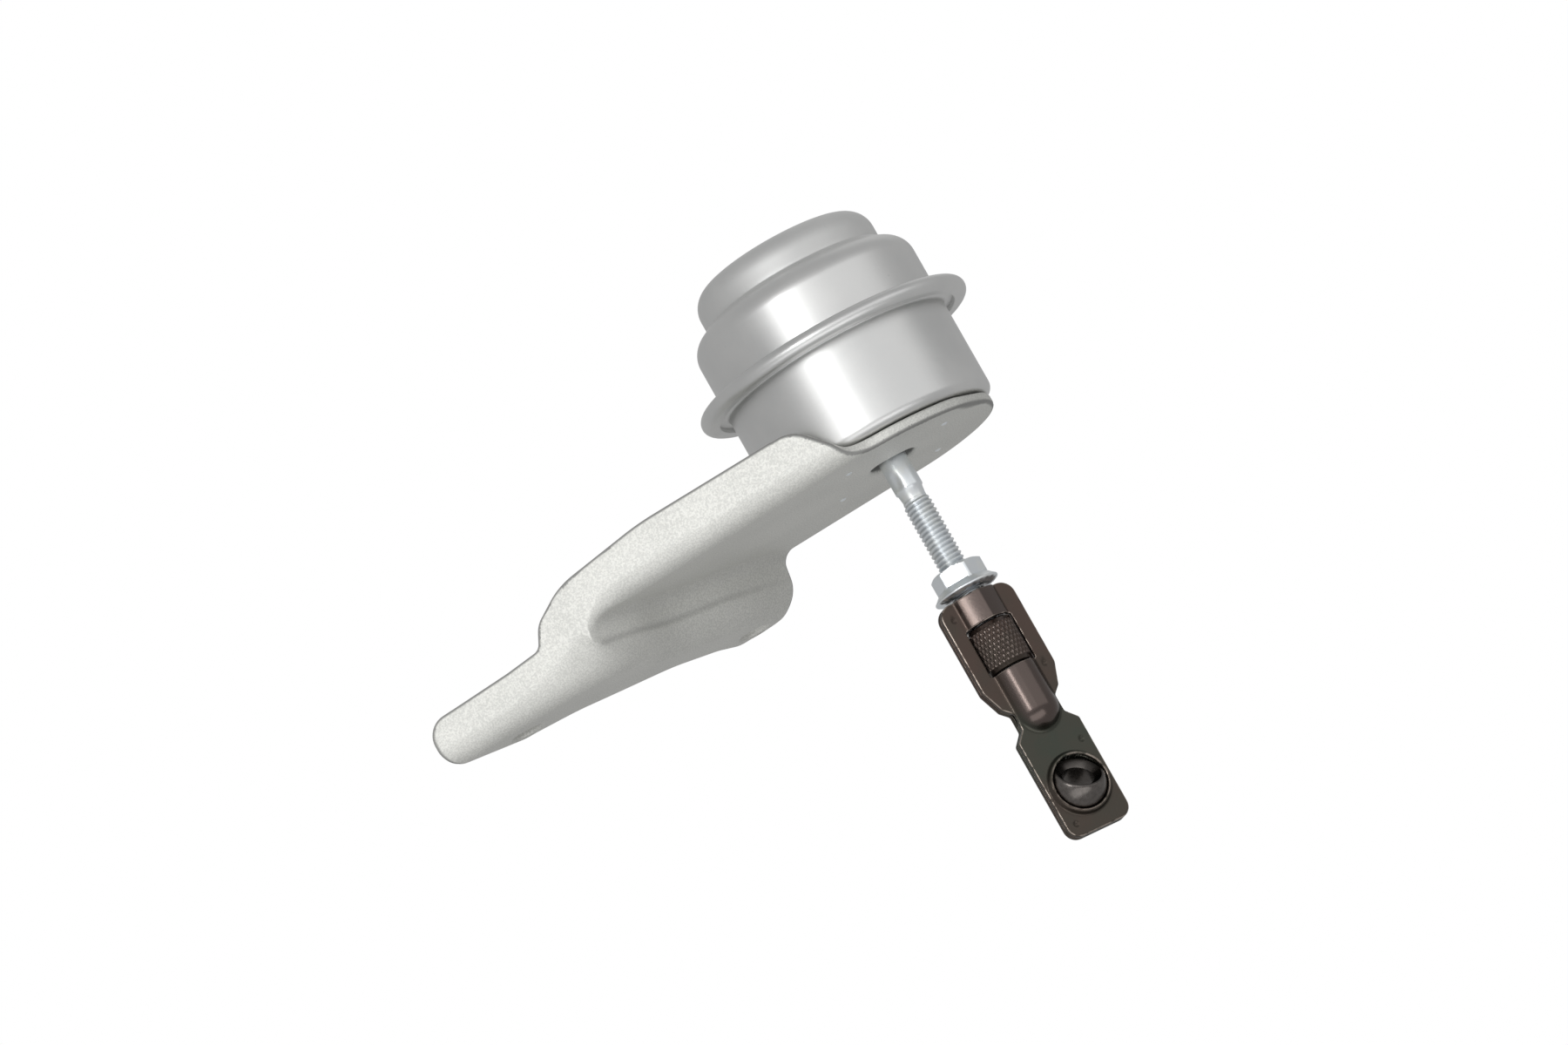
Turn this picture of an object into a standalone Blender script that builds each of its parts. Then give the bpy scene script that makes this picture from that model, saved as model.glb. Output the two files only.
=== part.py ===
"""Wastegate actuator: a pressure can on a stamped bracket, with an adjustable rod and rod end.

A spring-loaded diaphragm sits between two crimped cans. Air pressure pushes it down, and
the rod moves out of the lower can to turn a wastegate lever. Lengths are in metres.

The origin is on the underside of the bracket's foot, where it is bolted down. +Z points
along the rod towards the cans, and the bracket's arm runs towards -X. The sizes below
are given in the actuator's own axes: its origin is where the rod's axis crosses the
underside of the bracket plate.
"""

import math

import bmesh
import bpy
from mathutils import Matrix, Vector

MM = 0.001
SEAT_GAP = 0.3 * MM
MERGE = 0.000001
SPARE = 4.0 * MM
TALL = 40.0 * MM

# Where the foot's reference point lies, seen from the rod axis and the plate's underside
FOOT_POINT_X = -62.0 * MM
FOOT_POINT_Y = -8.0 * MM
FOOT_DROP = 11.0 * MM

# Bracket: one pressed sheet
SHEET = 2.5 * MM
PLATE_RADIUS = 23.2 * MM
PLATE_FLARE = 4.0 * MM
WALL_CLEARANCE = 0.5 * MM
WALL_BEND_RADIUS = 4.5 * MM
WALL_TOP = 11.2 * MM
WALL_START_X = -1.0 * MM
WALL_FULL_X = -9.5 * MM
WALL_FALL_X = -57.0 * MM
WALL_KNEE_X = -72.3 * MM
WALL_KNEE_Z = 6.6 * MM
WALL_END_X = -75.9 * MM
FOOT_WALL_TOP = -0.4 * MM
ARM_END_X = -104.2 * MM
ARM_END_WALL_TOP = -1.0 * MM
STEP_NEAR = (-59.5 * MM, -22.0 * MM)
STEP_MIDDLE = (-44.8 * MM, 0.6 * MM)
STEP_FAR = (-34.7 * MM, 23.2 * MM)
STEP_TOP_RADIUS = 3.2 * MM
STEP_FOOT_RADIUS = 4.0 * MM
STEP_SLOPE = math.radians(82.0)
STEP_APPROACH = 14.0 * MM
FLAT_ROWS = 8
ARM_CORNER_INSET = 1.6 * MM
ARM_CORNER_ROUND = 4.0 * MM
FOOT_EDGE = (
    (-91.4 * MM, -12.4 * MM, 6.0 * MM),
    (-80.0 * MM, -7.9 * MM, 18.0 * MM),
    (-62.0 * MM, 5.5 * MM, 20.0 * MM),
    (-54.5 * MM, 17.0 * MM, 12.0 * MM),
    (-51.7 * MM, 25.4 * MM, 3.0 * MM),
    (-43.0 * MM, 25.6 * MM, 6.0 * MM),
)
FOOT_EDGE_END = (-38.0 * MM, 6.0 * MM)
WALL_START_ROUND = 3.0 * MM
WALL_TOP_ROUND = 4.5 * MM
WALL_FALL_ROUND = 36.0 * MM
WALL_END_ROUND = 2.2 * MM
ROD_HOLE_RADIUS = 4.9 * MM
BOLT_HOLE_RADIUS = 3.2 * MM
BOLT_HOLES = ((-88.8 * MM, -16.1 * MM), (-46.6 * MM, 21.2 * MM))

# Cans: two drawn shells, crimped together round the diaphragm's edge
CAN_SHEET = 0.7 * MM
CAN_RADIUS = 24.5 * MM
CAN_FOOT_RADIUS = 2.0 * MM
CRIMP_MIDDLE = 24.65 * MM
CRIMP_REACH = 5.6 * MM
CRIMP_ROLL = 1.75 * MM
CRIMP_LIP_REACH = 2.5 * MM
FLANGE_REACH = 4.5 * MM
FLANGE_FILLET = 0.8 * MM
FLANGE_GAP = 0.2 * MM
SHOULDER_TOP = 40.5 * MM
SHOULDER_ROUND = 5.0 * MM
CAP_SETBACK = 4.75 * MM
CAP_TOP = 48.9 * MM
CAP_ROUND = 5.0 * MM
NECK_RISE = 0.9 * MM
CAN_STEPS = 32

# Pressure nipple, on the far side of the upper can
NIPPLE_HEIGHT = 32.5 * MM
NIPPLE_TURN = math.radians(102.0)
NIPPLE_RADIUS = 3.0 * MM
NIPPLE_BORE = 2.0 * MM
NIPPLE_BARB = 3.8 * MM
NIPPLE_BARB_LENGTH = 3.0 * MM
NIPPLE_BARB_PITCH = 4.2 * MM
NIPPLE_COLLAR = 4.3 * MM
NIPPLE_COLLAR_THICK = 1.2 * MM
NIPPLE_LENGTH = 16.0 * MM
NIPPLE_REACH_IN = 1.6 * MM

# Inside the cans
CUP_RADIUS = 17.5 * MM
CUP_TOP = 37.7 * MM
CUP_SKIRT = 18.0 * MM
CUP_SHEET = 0.7 * MM
CUP_ROUND = 2.5 * MM
RUBBER = 0.7 * MM
DIAPHRAGM_LOOP_Z = 20.5 * MM
DIAPHRAGM_EDGE_INSET = 0.6 * MM
RETAINER_INSET = 0.75 * MM
RETAINER_ROUND = 1.7 * MM
SPRING_WIRE = 1.25 * MM
SPRING_CLEARANCE = 1.25 * MM
SPRING_TURNS = 5.0
SEAT_LIP = 0.85 * MM
SEAT_COLLAR = 9.2 * MM
SEAT_HEIGHT = 4.0 * MM
BUSH_FLANGE_RADIUS = 7.8 * MM
BUSH_FLANGE_THICK = 1.2 * MM
BUSH_BARREL_RADIUS = 5.2 * MM
BUSH_HEIGHT = 5.2 * MM
ROD_CLEARANCE = 0.3 * MM

# Rod, with its thread left plain at the crest size
ROD_RADIUS = 3.0 * MM
ROD_SHANK_END = -6.6 * MM
ROD_NECK_RADIUS = 2.7 * MM
ROD_NECK_LENGTH = 0.4 * MM
ROD_THREAD_TOP = -9.3 * MM
ROD_THREAD_RUN_IN = 0.3 * MM
ROD_THREAD_RADIUS = 2.9 * MM
ROD_END_Z = -57.8 * MM
ROD_CHAMFER = 0.7 * MM
ROD_COLLAR_RADIUS = 5.2 * MM
ROD_COLLAR_THICK = 1.2 * MM
RIVET_RADIUS = 4.6 * MM
RIVET_THICK = 1.3 * MM

# Flanged lock nut
LOCK_NUT_TOP = -24.9 * MM
LOCK_NUT_BASE = -30.8 * MM
LOCK_NUT_FLATS = 10.0 * MM
LOCK_NUT_FLANGE_RADIUS = 7.0 * MM
LOCK_NUT_FLANGE_EDGE = 0.6 * MM
LOCK_NUT_FLANGE_RISE = 1.7 * MM
LOCK_NUT_CHAMFER = 0.6 * MM
LOCK_NUT_CROWN_INSET = 0.2 * MM
LOCK_NUT_CROWN_SLOPE = math.radians(26.0)
LOCK_NUT_TURN = math.radians(4.0)
NUT_BORE_GAP = 0.3 * MM

# Rod end: two mirrored pressings round the rod, the adjuster nut and the ball
PLATE_THICK = 1.2 * MM
PLATE_TURN = math.radians(-53.0)
PLATE_TOP = -31.4 * MM
UPPER_PAD_WIDTH = 17.3 * MM
UPPER_PAD_END = -50.7 * MM
TAPER_WIDTH = 13.7 * MM
TAPER_END = -55.3 * MM
NECK_WIDTH = 10.2 * MM
NECK_TOP = -56.9 * MM
NECK_END = -60.6 * MM
LOWER_PAD_WIDTH = 14.6 * MM
LOWER_PAD_TOP = -62.9 * MM
PLATE_END = -85.1 * MM
PAD_ROUND = 3.0 * MM
PAD_END_ROUND = 2.0 * MM
TAPER_ROUND = 0.8 * MM
NECK_ROUND = 1.0 * MM
PLATE_END_ROUND = 2.7 * MM
CHANNEL_WALL = 1.4 * MM
CHANNEL_END = -57.9 * MM
CHANNEL_GAP = 0.5 * MM
WINDOW_TOP = -37.9 * MM
WINDOW_END = -48.5 * MM
WINDOW_WIDTH = 10.7 * MM
SOCKET_Z = -75.1 * MM
SOCKET_OPENING = 5.65 * MM
SOCKET_RING = 6.8 * MM

# Knurled adjuster nut in the window
ADJUSTER_KNURL_DEPTH = 0.35 * MM
ADJUSTER_CHAMFER = 0.8 * MM
KNURL_ROWS = 10
KNURL_COLUMNS = 32

# Ball with its bore, turned as the photograph shows it
BALL_RADIUS = 6.0 * MM
BALL_BORE = 3.25 * MM
BALL_MOUTH = 4.3 * MM
BALL_CHAMFER = 1.0 * MM
BALL_AXIS = Vector((0.613, -0.531, 0.582))

# Sizes that follow from the ones above
NEAR_WALL_Y = -(CAN_RADIUS + WALL_CLEARANCE + SHEET)
CRIMP_RADIUS = CAN_RADIUS + CRIMP_REACH
CRIMP_LIP_RADIUS = CAN_RADIUS + CRIMP_LIP_REACH
FLANGE_RADIUS = CAN_RADIUS + FLANGE_REACH
CAP_RADIUS = CAN_RADIUS - CAP_SETBACK
DIAPHRAGM_EDGE_RADIUS = FLANGE_RADIUS - DIAPHRAGM_EDGE_INSET
RETAINER_RADIUS = CAP_RADIUS - CAP_ROUND - RETAINER_INSET
SPRING_RADIUS = CUP_RADIUS - CUP_SHEET - SPRING_CLEARANCE - SPRING_WIRE
SEAT_RADIUS = SPRING_RADIUS + SPRING_WIRE + SEAT_LIP
CAN_FLOOR = SHEET + SEAT_GAP
CAN_BORE = CAN_RADIUS - CAN_SHEET
ROLL_CENTRE = CRIMP_RADIUS - CRIMP_ROLL
CRIMP_TOP = CRIMP_MIDDLE + CRIMP_ROLL
CRIMP_BASE = CRIMP_MIDDLE - CRIMP_ROLL
LOWER_FLANGE = CRIMP_BASE + CAN_SHEET + SEAT_GAP
DIAPHRAGM_EDGE = LOWER_FLANGE + CAN_SHEET + FLANGE_GAP
INNER_FLOOR = CAN_FLOOR + CAN_SHEET + SEAT_GAP
CROWN = CUP_TOP + SEAT_GAP
RETAINER_FLOOR = CROWN + RUBBER + SEAT_GAP
RIVET_SEAT = RETAINER_FLOOR + CUP_SHEET + SEAT_GAP
COLLAR_SEAT = CUP_TOP - CUP_SHEET - SEAT_GAP
CLEAR_HOLE = ROD_RADIUS + ROD_CLEARANCE
SPRING_BASE = INNER_FLOOR + CAN_SHEET + SEAT_GAP + SPRING_WIRE
SPRING_TOP = CUP_TOP - CUP_SHEET - SEAT_GAP - SPRING_WIRE
NUT_BORE = ROD_THREAD_RADIUS + NUT_BORE_GAP
HALF_GAP = SEAT_GAP / 2.0
PLATE_FACE = HALF_GAP + PLATE_THICK
CHANNEL_BORE = ROD_RADIUS + CHANNEL_GAP
CHANNEL_RADIUS = CHANNEL_BORE + CHANNEL_WALL
SOCKET_RADIUS = BALL_RADIUS + SEAT_GAP
RING_HEIGHT = math.sqrt(SOCKET_RADIUS ** 2 - SOCKET_OPENING ** 2)
ADJUSTER_RADIUS = WINDOW_WIDTH / 2.0 - SEAT_GAP

SILVER_STEEL = ((0.62, 0.63, 0.64), 0.32, 1.0)
BRACKET_PAINT = ((0.50, 0.51, 0.49), 0.55, 0.4)
BRIGHT_ZINC = ((0.70, 0.74, 0.78), 0.25, 1.0)
DARK_BRONZE = ((0.060, 0.045, 0.036), 0.38, 0.8)
BALL_STEEL = ((0.09, 0.08, 0.07), 0.22, 0.9)
SPRING_STEEL = ((0.30, 0.31, 0.33), 0.35, 1.0)
PRESSED_STEEL = ((0.55, 0.55, 0.54), 0.40, 1.0)
BLACK_RUBBER = ((0.02, 0.02, 0.02), 0.70, 0.0)
BLACK_POLYMER = ((0.03, 0.03, 0.035), 0.50, 0.0)


def clear_scene():
    """Remove every object that the file opened with."""
    for old in list(bpy.data.objects):
        bpy.data.objects.remove(old, do_unlink=True)


def new_collection(name):
    """Return a new collection, linked to the scene."""
    group = bpy.data.collections.new(name)
    bpy.context.scene.collection.children.link(group)
    return group


def new_material(name, look):
    """Return a Principled material from a (colour, roughness, metallic) look."""
    colour, roughness, metallic = look
    material = bpy.data.materials.new(name)
    material.use_nodes = True
    shader = material.node_tree.nodes["Principled BSDF"]
    shader.inputs["Base Color"].default_value = (*colour, 1.0)
    shader.inputs["Roughness"].default_value = roughness
    shader.inputs["Metallic"].default_value = metallic
    return material


def new_axis(name, group, location):
    """Return an empty that pieces on one axis are parented to."""
    axis = bpy.data.objects.new(name, None)
    axis.empty_display_size = 10.0 * MM
    axis.location = location
    group.objects.link(axis)
    return axis


class Maker:
    """Adds pieces and cutters to their collections, parented to the actuator's axis."""

    def __init__(self):
        """Make the two collections and the empty on the rod's axis."""
        self.pieces = new_collection("wastegate_actuator")
        self.cutters = new_collection("cutters")
        home = Vector((-FOOT_POINT_X, -FOOT_POINT_Y, FOOT_DROP))
        self.axis = new_axis("rod_axis", self.pieces, home)

    def piece(self, name, mesh, look, matrix=None):
        """Return a piece with its own material, placed on the rod's axis."""
        made = bpy.data.objects.new(name, mesh)
        made.parent = self.axis
        made.matrix_local = matrix or Matrix.Identity(4)
        made.data.materials.append(new_material(name, look))
        self.pieces.objects.link(made)
        return made

    def cutter(self, name, mesh, matrix=None):
        """Return a hidden shape that Boolean modifiers use."""
        made = bpy.data.objects.new(name, mesh)
        made.parent = self.axis
        made.matrix_local = matrix or Matrix.Identity(4)
        made.hide_render = True
        made.display_type = "WIRE"
        self.cutters.objects.link(made)
        return made


def boolean(target, cutter, operation):
    """Add an exact Boolean of target with cutter."""
    step = target.modifiers.new(operation.lower() + "_" + cutter.name, "BOOLEAN")
    step.operation = operation
    step.solver = "EXACT"
    step.object = cutter


def arc(centre, radius, start, end, count):
    """Return count + 1 points on an arc, by its angles in degrees."""
    points = []
    for index in range(count + 1):
        angle = math.radians(start + (end - start) * index / count)
        points.append((centre[0] + radius * math.cos(angle), centre[1] + radius * math.sin(angle)))
    return points


def rounded(corners, count=5):
    """Return an outline through (x, y, radius) corners, each with its corner rounded."""
    points = []
    total = len(corners)
    for index, (x, y, radius) in enumerate(corners):
        here = Vector((x, y))
        if radius == 0.0:
            points.append((x, y))
            continue
        before = (Vector(corners[index - 1][:2]) - here).normalized()
        after = (Vector(corners[(index + 1) % total][:2]) - here).normalized()
        half = before.angle(after) / 2.0
        centre = here + (before + after).normalized() * (radius / math.sin(half))
        first = here + before * (radius / math.tan(half)) - centre
        turn = first.angle_signed(here + after * (radius / math.tan(half)) - centre)
        for step in range(count + 1):
            spoke = first.copy()
            spoke.rotate(Matrix.Rotation(-turn * step / count, 2))
            points.append(tuple(centre + spoke))
    return points


def turned(name, profile, steps=CAN_STEPS, closed=True):
    """Return the mesh of a profile of (radius, height) points turned about Z."""
    mesh = bpy.data.meshes.new(name + "_profile")
    build = bmesh.new()
    verts = [build.verts.new((radius, 0.0, height)) for radius, height in profile]
    for first, second in zip(verts, verts[1:]):
        build.edges.new((first, second))
    if closed:
        build.edges.new((verts[-1], verts[0]))
    build.to_mesh(mesh)
    build.free()
    holder = bpy.data.objects.new(name + "_profile", mesh)
    bpy.context.scene.collection.objects.link(holder)
    screw = holder.modifiers.new("turn", "SCREW")
    screw.steps = steps
    screw.render_steps = steps
    screw.use_merge_vertices = True
    screw.merge_threshold = MERGE
    screw.use_smooth_shade = True
    return frozen(holder, name)


def frozen(holder, name):
    """Return the evaluated mesh of an object, welded, and remove the object."""
    bpy.context.view_layer.update()
    seen = holder.evaluated_get(bpy.context.evaluated_depsgraph_get())
    mesh = bpy.data.meshes.new_from_object(seen)
    mesh.name = name
    mesh.transform(holder.matrix_world)
    weld(mesh)
    bpy.data.objects.remove(holder, do_unlink=True)
    mesh.shade_smooth()
    mesh.set_sharp_from_angle(angle=math.radians(35.0))
    return mesh


def weld(mesh):
    """Merge coincident vertices and point the faces out."""
    build = bmesh.new()
    build.from_mesh(mesh)
    bmesh.ops.remove_doubles(build, verts=build.verts, dist=MERGE)
    bmesh.ops.dissolve_degenerate(build, edges=build.edges, dist=MERGE)
    bmesh.ops.recalc_face_normals(build, faces=build.faces)
    build.to_mesh(mesh)
    build.free()


def prism(name, outline, low, high):
    """Return the mesh of a flat outline, extruded along Z from low to high."""
    shape = bpy.data.curves.new(name, "CURVE")
    shape.dimensions = "2D"
    shape.fill_mode = "BOTH"
    shape.extrude = (high - low) / 2.0
    spline = shape.splines.new("POLY")
    spline.points.add(len(outline) - 1)
    for point, (x, y) in zip(spline.points, outline):
        point.co = (x, y, 0.0, 1.0)
    spline.use_cyclic_u = True
    holder = bpy.data.objects.new(name, shape)
    holder.location.z = (high + low) / 2.0
    bpy.context.scene.collection.objects.link(holder)
    return frozen(holder, name)


def cylinder(name, radius, low, high, segments=24):
    """Return the mesh of a plain cylinder along Z."""
    build = bmesh.new()
    made = bmesh.ops.create_cone(
        build, cap_ends=True, segments=segments, radius1=radius, radius2=radius, depth=high - low
    )
    bmesh.ops.translate(build, verts=made["verts"], vec=(0.0, 0.0, (high + low) / 2.0))
    mesh = bpy.data.meshes.new(name)
    build.to_mesh(mesh)
    build.free()
    return mesh


def box(name, low, high):
    """Return the mesh of a box between two corners."""
    build = bmesh.new()
    made = bmesh.ops.create_cube(build, size=1.0)
    size = Vector(high) - Vector(low)
    bmesh.ops.scale(build, verts=made["verts"], vec=size)
    bmesh.ops.translate(build, verts=made["verts"], vec=(Vector(high) + Vector(low)) / 2.0)
    mesh = bpy.data.meshes.new(name)
    build.to_mesh(mesh)
    build.free()
    return mesh


def step_line(y):
    """Return where the bracket's step crosses y, and the X share of its normal there.

    The step's middle is a shallow curve in plan through three points.
    """
    points = (STEP_NEAR, STEP_MIDDLE, STEP_FAR)
    place = 0.0
    slope = 0.0
    for this in range(3):
        x, y_this = points[this]
        y_a = points[(this + 1) % 3][1]
        y_b = points[(this + 2) % 3][1]
        share = (y_this - y_a) * (y_this - y_b)
        place += x * (y - y_a) * (y - y_b) / share
        slope += x * (2.0 * y - y_a - y_b) / share
    return place, 1.0 / math.sqrt(1.0 + slope ** 2)


def step_section():
    """Return the (distance, height) section of the step's underside, foot first."""
    rise = FOOT_DROP / 2.0
    cosine = 1.0 - math.cos(STEP_SLOPE)
    lean = math.tan(STEP_SLOPE)
    top = STEP_TOP_RADIUS
    foot = STEP_FOOT_RADIUS
    top_centre = top * math.sin(STEP_SLOPE) + (rise - top * cosine) / lean
    foot_centre = -foot * math.sin(STEP_SLOPE) - (rise - foot * cosine) / lean
    turn = math.degrees(STEP_SLOPE)
    low = arc((foot_centre, foot - FOOT_DROP), foot, -90.0, turn - 90.0, 5)
    high = arc((top_centre, -top), top, 90.0 + turn, 90.0, 5)
    return low + high


def bracket_rows():
    """Return rows of points on the sheet's outer face, from the wall's top to the far edge."""
    section = step_section()
    bend_y = NEAR_WALL_Y + WALL_BEND_RADIUS
    far_y = PLATE_RADIUS + 1.5 * SPARE
    rows = []
    levels = [(NEAR_WALL_Y, None)]
    for turn in range(90, -1, -15):
        angle = math.radians(turn)
        level = (bend_y - WALL_BEND_RADIUS * math.sin(angle), WALL_BEND_RADIUS * (1.0 - math.cos(angle)))
        levels.append(level)
    for index in range(1, FLAT_ROWS + 1):
        levels.append((bend_y + (far_y - bend_y) * index / FLAT_ROWS, 0.0))
    for y, lift in levels:
        line, share = step_line(y)
        row = [(ARM_END_X - SPARE, -FOOT_DROP), (line - STEP_APPROACH, -FOOT_DROP)]
        row += [(line + distance / share, height) for distance, height in section]
        row += [(line + STEP_APPROACH, 0.0), (PLATE_RADIUS + SPARE, 0.0)]
        if lift is None:
            rows.append([(x, y, WALL_TOP + SPARE) for x, height in row])
        else:
            rows.append([(x, y, height + lift) for x, height in row])
    return rows


def lofted(name, rows):
    """Return the mesh of a sheet through rows that hold equally many points."""
    build = bmesh.new()
    grid = [[build.verts.new(point) for point in row] for row in rows]
    for lower, upper in zip(grid, grid[1:]):
        for index in range(len(lower) - 1):
            build.faces.new((lower[index], upper[index], upper[index + 1], lower[index + 1]))
    mesh = bpy.data.meshes.new(name)
    build.to_mesh(mesh)
    build.free()
    mesh.shade_smooth()
    mesh.set_sharp_from_angle(angle=math.radians(40.0))
    return mesh


def bracket_plan():
    """Return the bracket's outline from above: arm end, foot, far edge, plate, near wall."""
    outside = NEAR_WALL_Y - 3.0 * SPARE
    arm_corner = (ARM_END_X, NEAR_WALL_Y + ARM_CORNER_INSET, ARM_CORNER_ROUND)
    edge_end_x, edge_end_round = FOOT_EDGE_END
    corners = [(ARM_END_X, outside, 0.0), arm_corner, *FOOT_EDGE]
    corners += [(edge_end_x, PLATE_RADIUS, edge_end_round), (0.0, PLATE_RADIUS, 0.0)]
    plate = arc((0.0, 0.0), PLATE_RADIUS, 90.0, -84.0, 28)[1:]
    flare_x = WALL_START_X - PLATE_FLARE
    flare = [(flare_x, NEAR_WALL_Y - SPARE / 4.0), (flare_x - SPARE / 4.0, outside)]
    return rounded(corners) + plate + flare


def bracket_side():
    """Return the outline of the bracket from the near side, which sets the wall's top edge."""
    right = PLATE_RADIUS + 2.0 * SPARE
    base = -FOOT_DROP - 2.0 * SPARE
    plate_top = SHEET + SPARE / 20.0
    return rounded([
        (right, base, 0.0),
        (right, plate_top, 0.0),
        (WALL_START_X, plate_top, WALL_START_ROUND),
        (WALL_FULL_X, WALL_TOP, WALL_TOP_ROUND),
        (WALL_FALL_X, WALL_TOP, WALL_FALL_ROUND),
        (WALL_KNEE_X, WALL_KNEE_Z, WALL_TOP_ROUND),
        (WALL_END_X, FOOT_WALL_TOP, WALL_END_ROUND),
        (ARM_END_X, ARM_END_WALL_TOP, WALL_TOP_ROUND),
        (ARM_END_X, base, 0.0),
    ])


def make_bracket(maker):
    """Make the bracket: the pressed sheet, trimmed to its outlines and pierced."""
    sheet = lofted("bracket", bracket_rows())
    bracket = maker.piece("bracket", sheet, BRACKET_PAINT)
    solid = bracket.modifiers.new("sheet", "SOLIDIFY")
    solid.thickness = SHEET
    solid.offset = -1.0
    solid.use_even_offset = True
    plan = maker.cutter("bracket_plan", prism("bracket_plan", bracket_plan(), -TALL, TALL))
    upright = Matrix.Rotation(math.radians(90.0), 4, "X")
    side = maker.cutter("bracket_side", prism("bracket_side", bracket_side(), -TALL, TALL), upright)
    boolean(bracket, plan, "INTERSECT")
    boolean(bracket, side, "INTERSECT")
    rod_hole = maker.cutter("rod_hole", cylinder("rod_hole", ROD_HOLE_RADIUS, -TALL, TALL))
    boolean(bracket, rod_hole, "DIFFERENCE")
    for index, (x, y) in enumerate(BOLT_HOLES):
        name = "bolt_hole_" + str(index + 1)
        hole = cylinder(name, BOLT_HOLE_RADIUS, -TALL, TALL)
        place = Matrix.Translation((x, y, 0.0))
        boolean(bracket, maker.cutter(name, hole, place), "DIFFERENCE")


def make_lower_can(maker):
    """Make the lower can: floor with a rod hole, side wall and clamped flange."""
    foot = (CAN_RADIUS - CAN_FOOT_RADIUS, CAN_FLOOR + CAN_FOOT_RADIUS)
    root = (CAN_RADIUS + FLANGE_FILLET, LOWER_FLANGE - FLANGE_FILLET)
    profile = [(FLANGE_RADIUS, LOWER_FLANGE + CAN_SHEET), (FLANGE_RADIUS, LOWER_FLANGE)]
    profile += arc(root, FLANGE_FILLET, 90.0, 180.0, 2)
    profile += arc(foot, CAN_FOOT_RADIUS, 0.0, -90.0, 3)
    profile += [(ROD_HOLE_RADIUS, CAN_FLOOR), (ROD_HOLE_RADIUS, CAN_FLOOR + CAN_SHEET)]
    profile += arc(foot, CAN_FOOT_RADIUS - CAN_SHEET, -90.0, 0.0, 3)
    profile += arc(root, FLANGE_FILLET + CAN_SHEET, 180.0, 90.0, 3)
    maker.piece("lower_can", turned("lower_can", profile), SILVER_STEEL)


def upper_can_profile():
    """Return the upper can's section: cap, shoulder, wall and the roll round the flange."""
    cap = (CAP_RADIUS - CAP_ROUND, CAP_TOP - CAP_ROUND)
    shoulder = (CAN_RADIUS - SHOULDER_ROUND, SHOULDER_TOP - SHOULDER_ROUND)
    fillet = FLANGE_FILLET
    root = (CAN_RADIUS + fillet, CRIMP_TOP + fillet)
    roll = (ROLL_CENTRE, CRIMP_MIDDLE)
    inner_neck = (CAP_RADIUS - CAN_SHEET, SHOULDER_TOP + NECK_RISE - CAN_SHEET)
    outside = [(0.0, CAP_TOP)]
    outside += arc(cap, CAP_ROUND, 90.0, 0.0, 4)
    outside += [(CAP_RADIUS, SHOULDER_TOP + NECK_RISE)]
    outside += arc(shoulder, SHOULDER_ROUND, 75.0, 0.0, 4)
    outside += arc(root, fillet, 180.0, 270.0, 2)
    outside += arc(roll, CRIMP_ROLL, 90.0, -90.0, 6)
    outside += [(CRIMP_LIP_RADIUS, CRIMP_BASE)]
    inside = [(CRIMP_LIP_RADIUS, CRIMP_BASE + CAN_SHEET)]
    inside += arc(roll, CRIMP_ROLL - CAN_SHEET, -90.0, 90.0, 4)
    inside += arc(root, fillet + CAN_SHEET, 270.0, 180.0, 2)
    inside += arc(shoulder, SHOULDER_ROUND - CAN_SHEET, 0.0, 75.0, 3)
    inside += [inner_neck]
    inside += arc(cap, CAP_ROUND - CAN_SHEET, 0.0, 90.0, 3)
    inside += [(0.0, CAP_TOP - CAN_SHEET)]
    return outside + inside


def nipple_matrix():
    """Return the placement of the nipple: local Z points out of the can's wall."""
    place = Matrix.Rotation(NIPPLE_TURN, 4, "Z") @ Matrix.Rotation(math.radians(90.0), 4, "Y")
    return Matrix.Translation((0.0, 0.0, NIPPLE_HEIGHT)) @ place


def make_upper_can(maker):
    """Make the upper can, pierced for the nipple."""
    mesh = turned("upper_can", upper_can_profile(), closed=False)
    can = maker.piece("upper_can", mesh, SILVER_STEEL)
    hole = cylinder("nipple_hole", NIPPLE_RADIUS + SEAT_GAP, CAN_BORE - SPARE, CAN_RADIUS + SPARE, 16)
    boolean(can, maker.cutter("nipple_hole", hole, nipple_matrix()), "DIFFERENCE")


def make_nipple(maker):
    """Make the barbed hose nipple with the collar that is brazed to the can."""
    seat = CAN_RADIUS + SEAT_GAP
    tip = seat + NIPPLE_LENGTH
    profile = []
    for start in (tip, tip - NIPPLE_BARB_PITCH):
        end = start - NIPPLE_BARB_LENGTH
        profile += [(NIPPLE_RADIUS, start), (NIPPLE_BARB, end), (NIPPLE_RADIUS, end)]
    profile += [(NIPPLE_RADIUS, seat + NIPPLE_COLLAR_THICK)]
    profile += [(NIPPLE_COLLAR, seat + NIPPLE_COLLAR_THICK), (NIPPLE_COLLAR, seat), (NIPPLE_RADIUS, seat)]
    root = CAN_BORE - NIPPLE_REACH_IN
    profile += [(NIPPLE_RADIUS, root), (NIPPLE_BORE, root), (NIPPLE_BORE, tip)]
    maker.piece("hose_nipple", turned("hose_nipple", profile, 16), PRESSED_STEEL, nipple_matrix())


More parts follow.
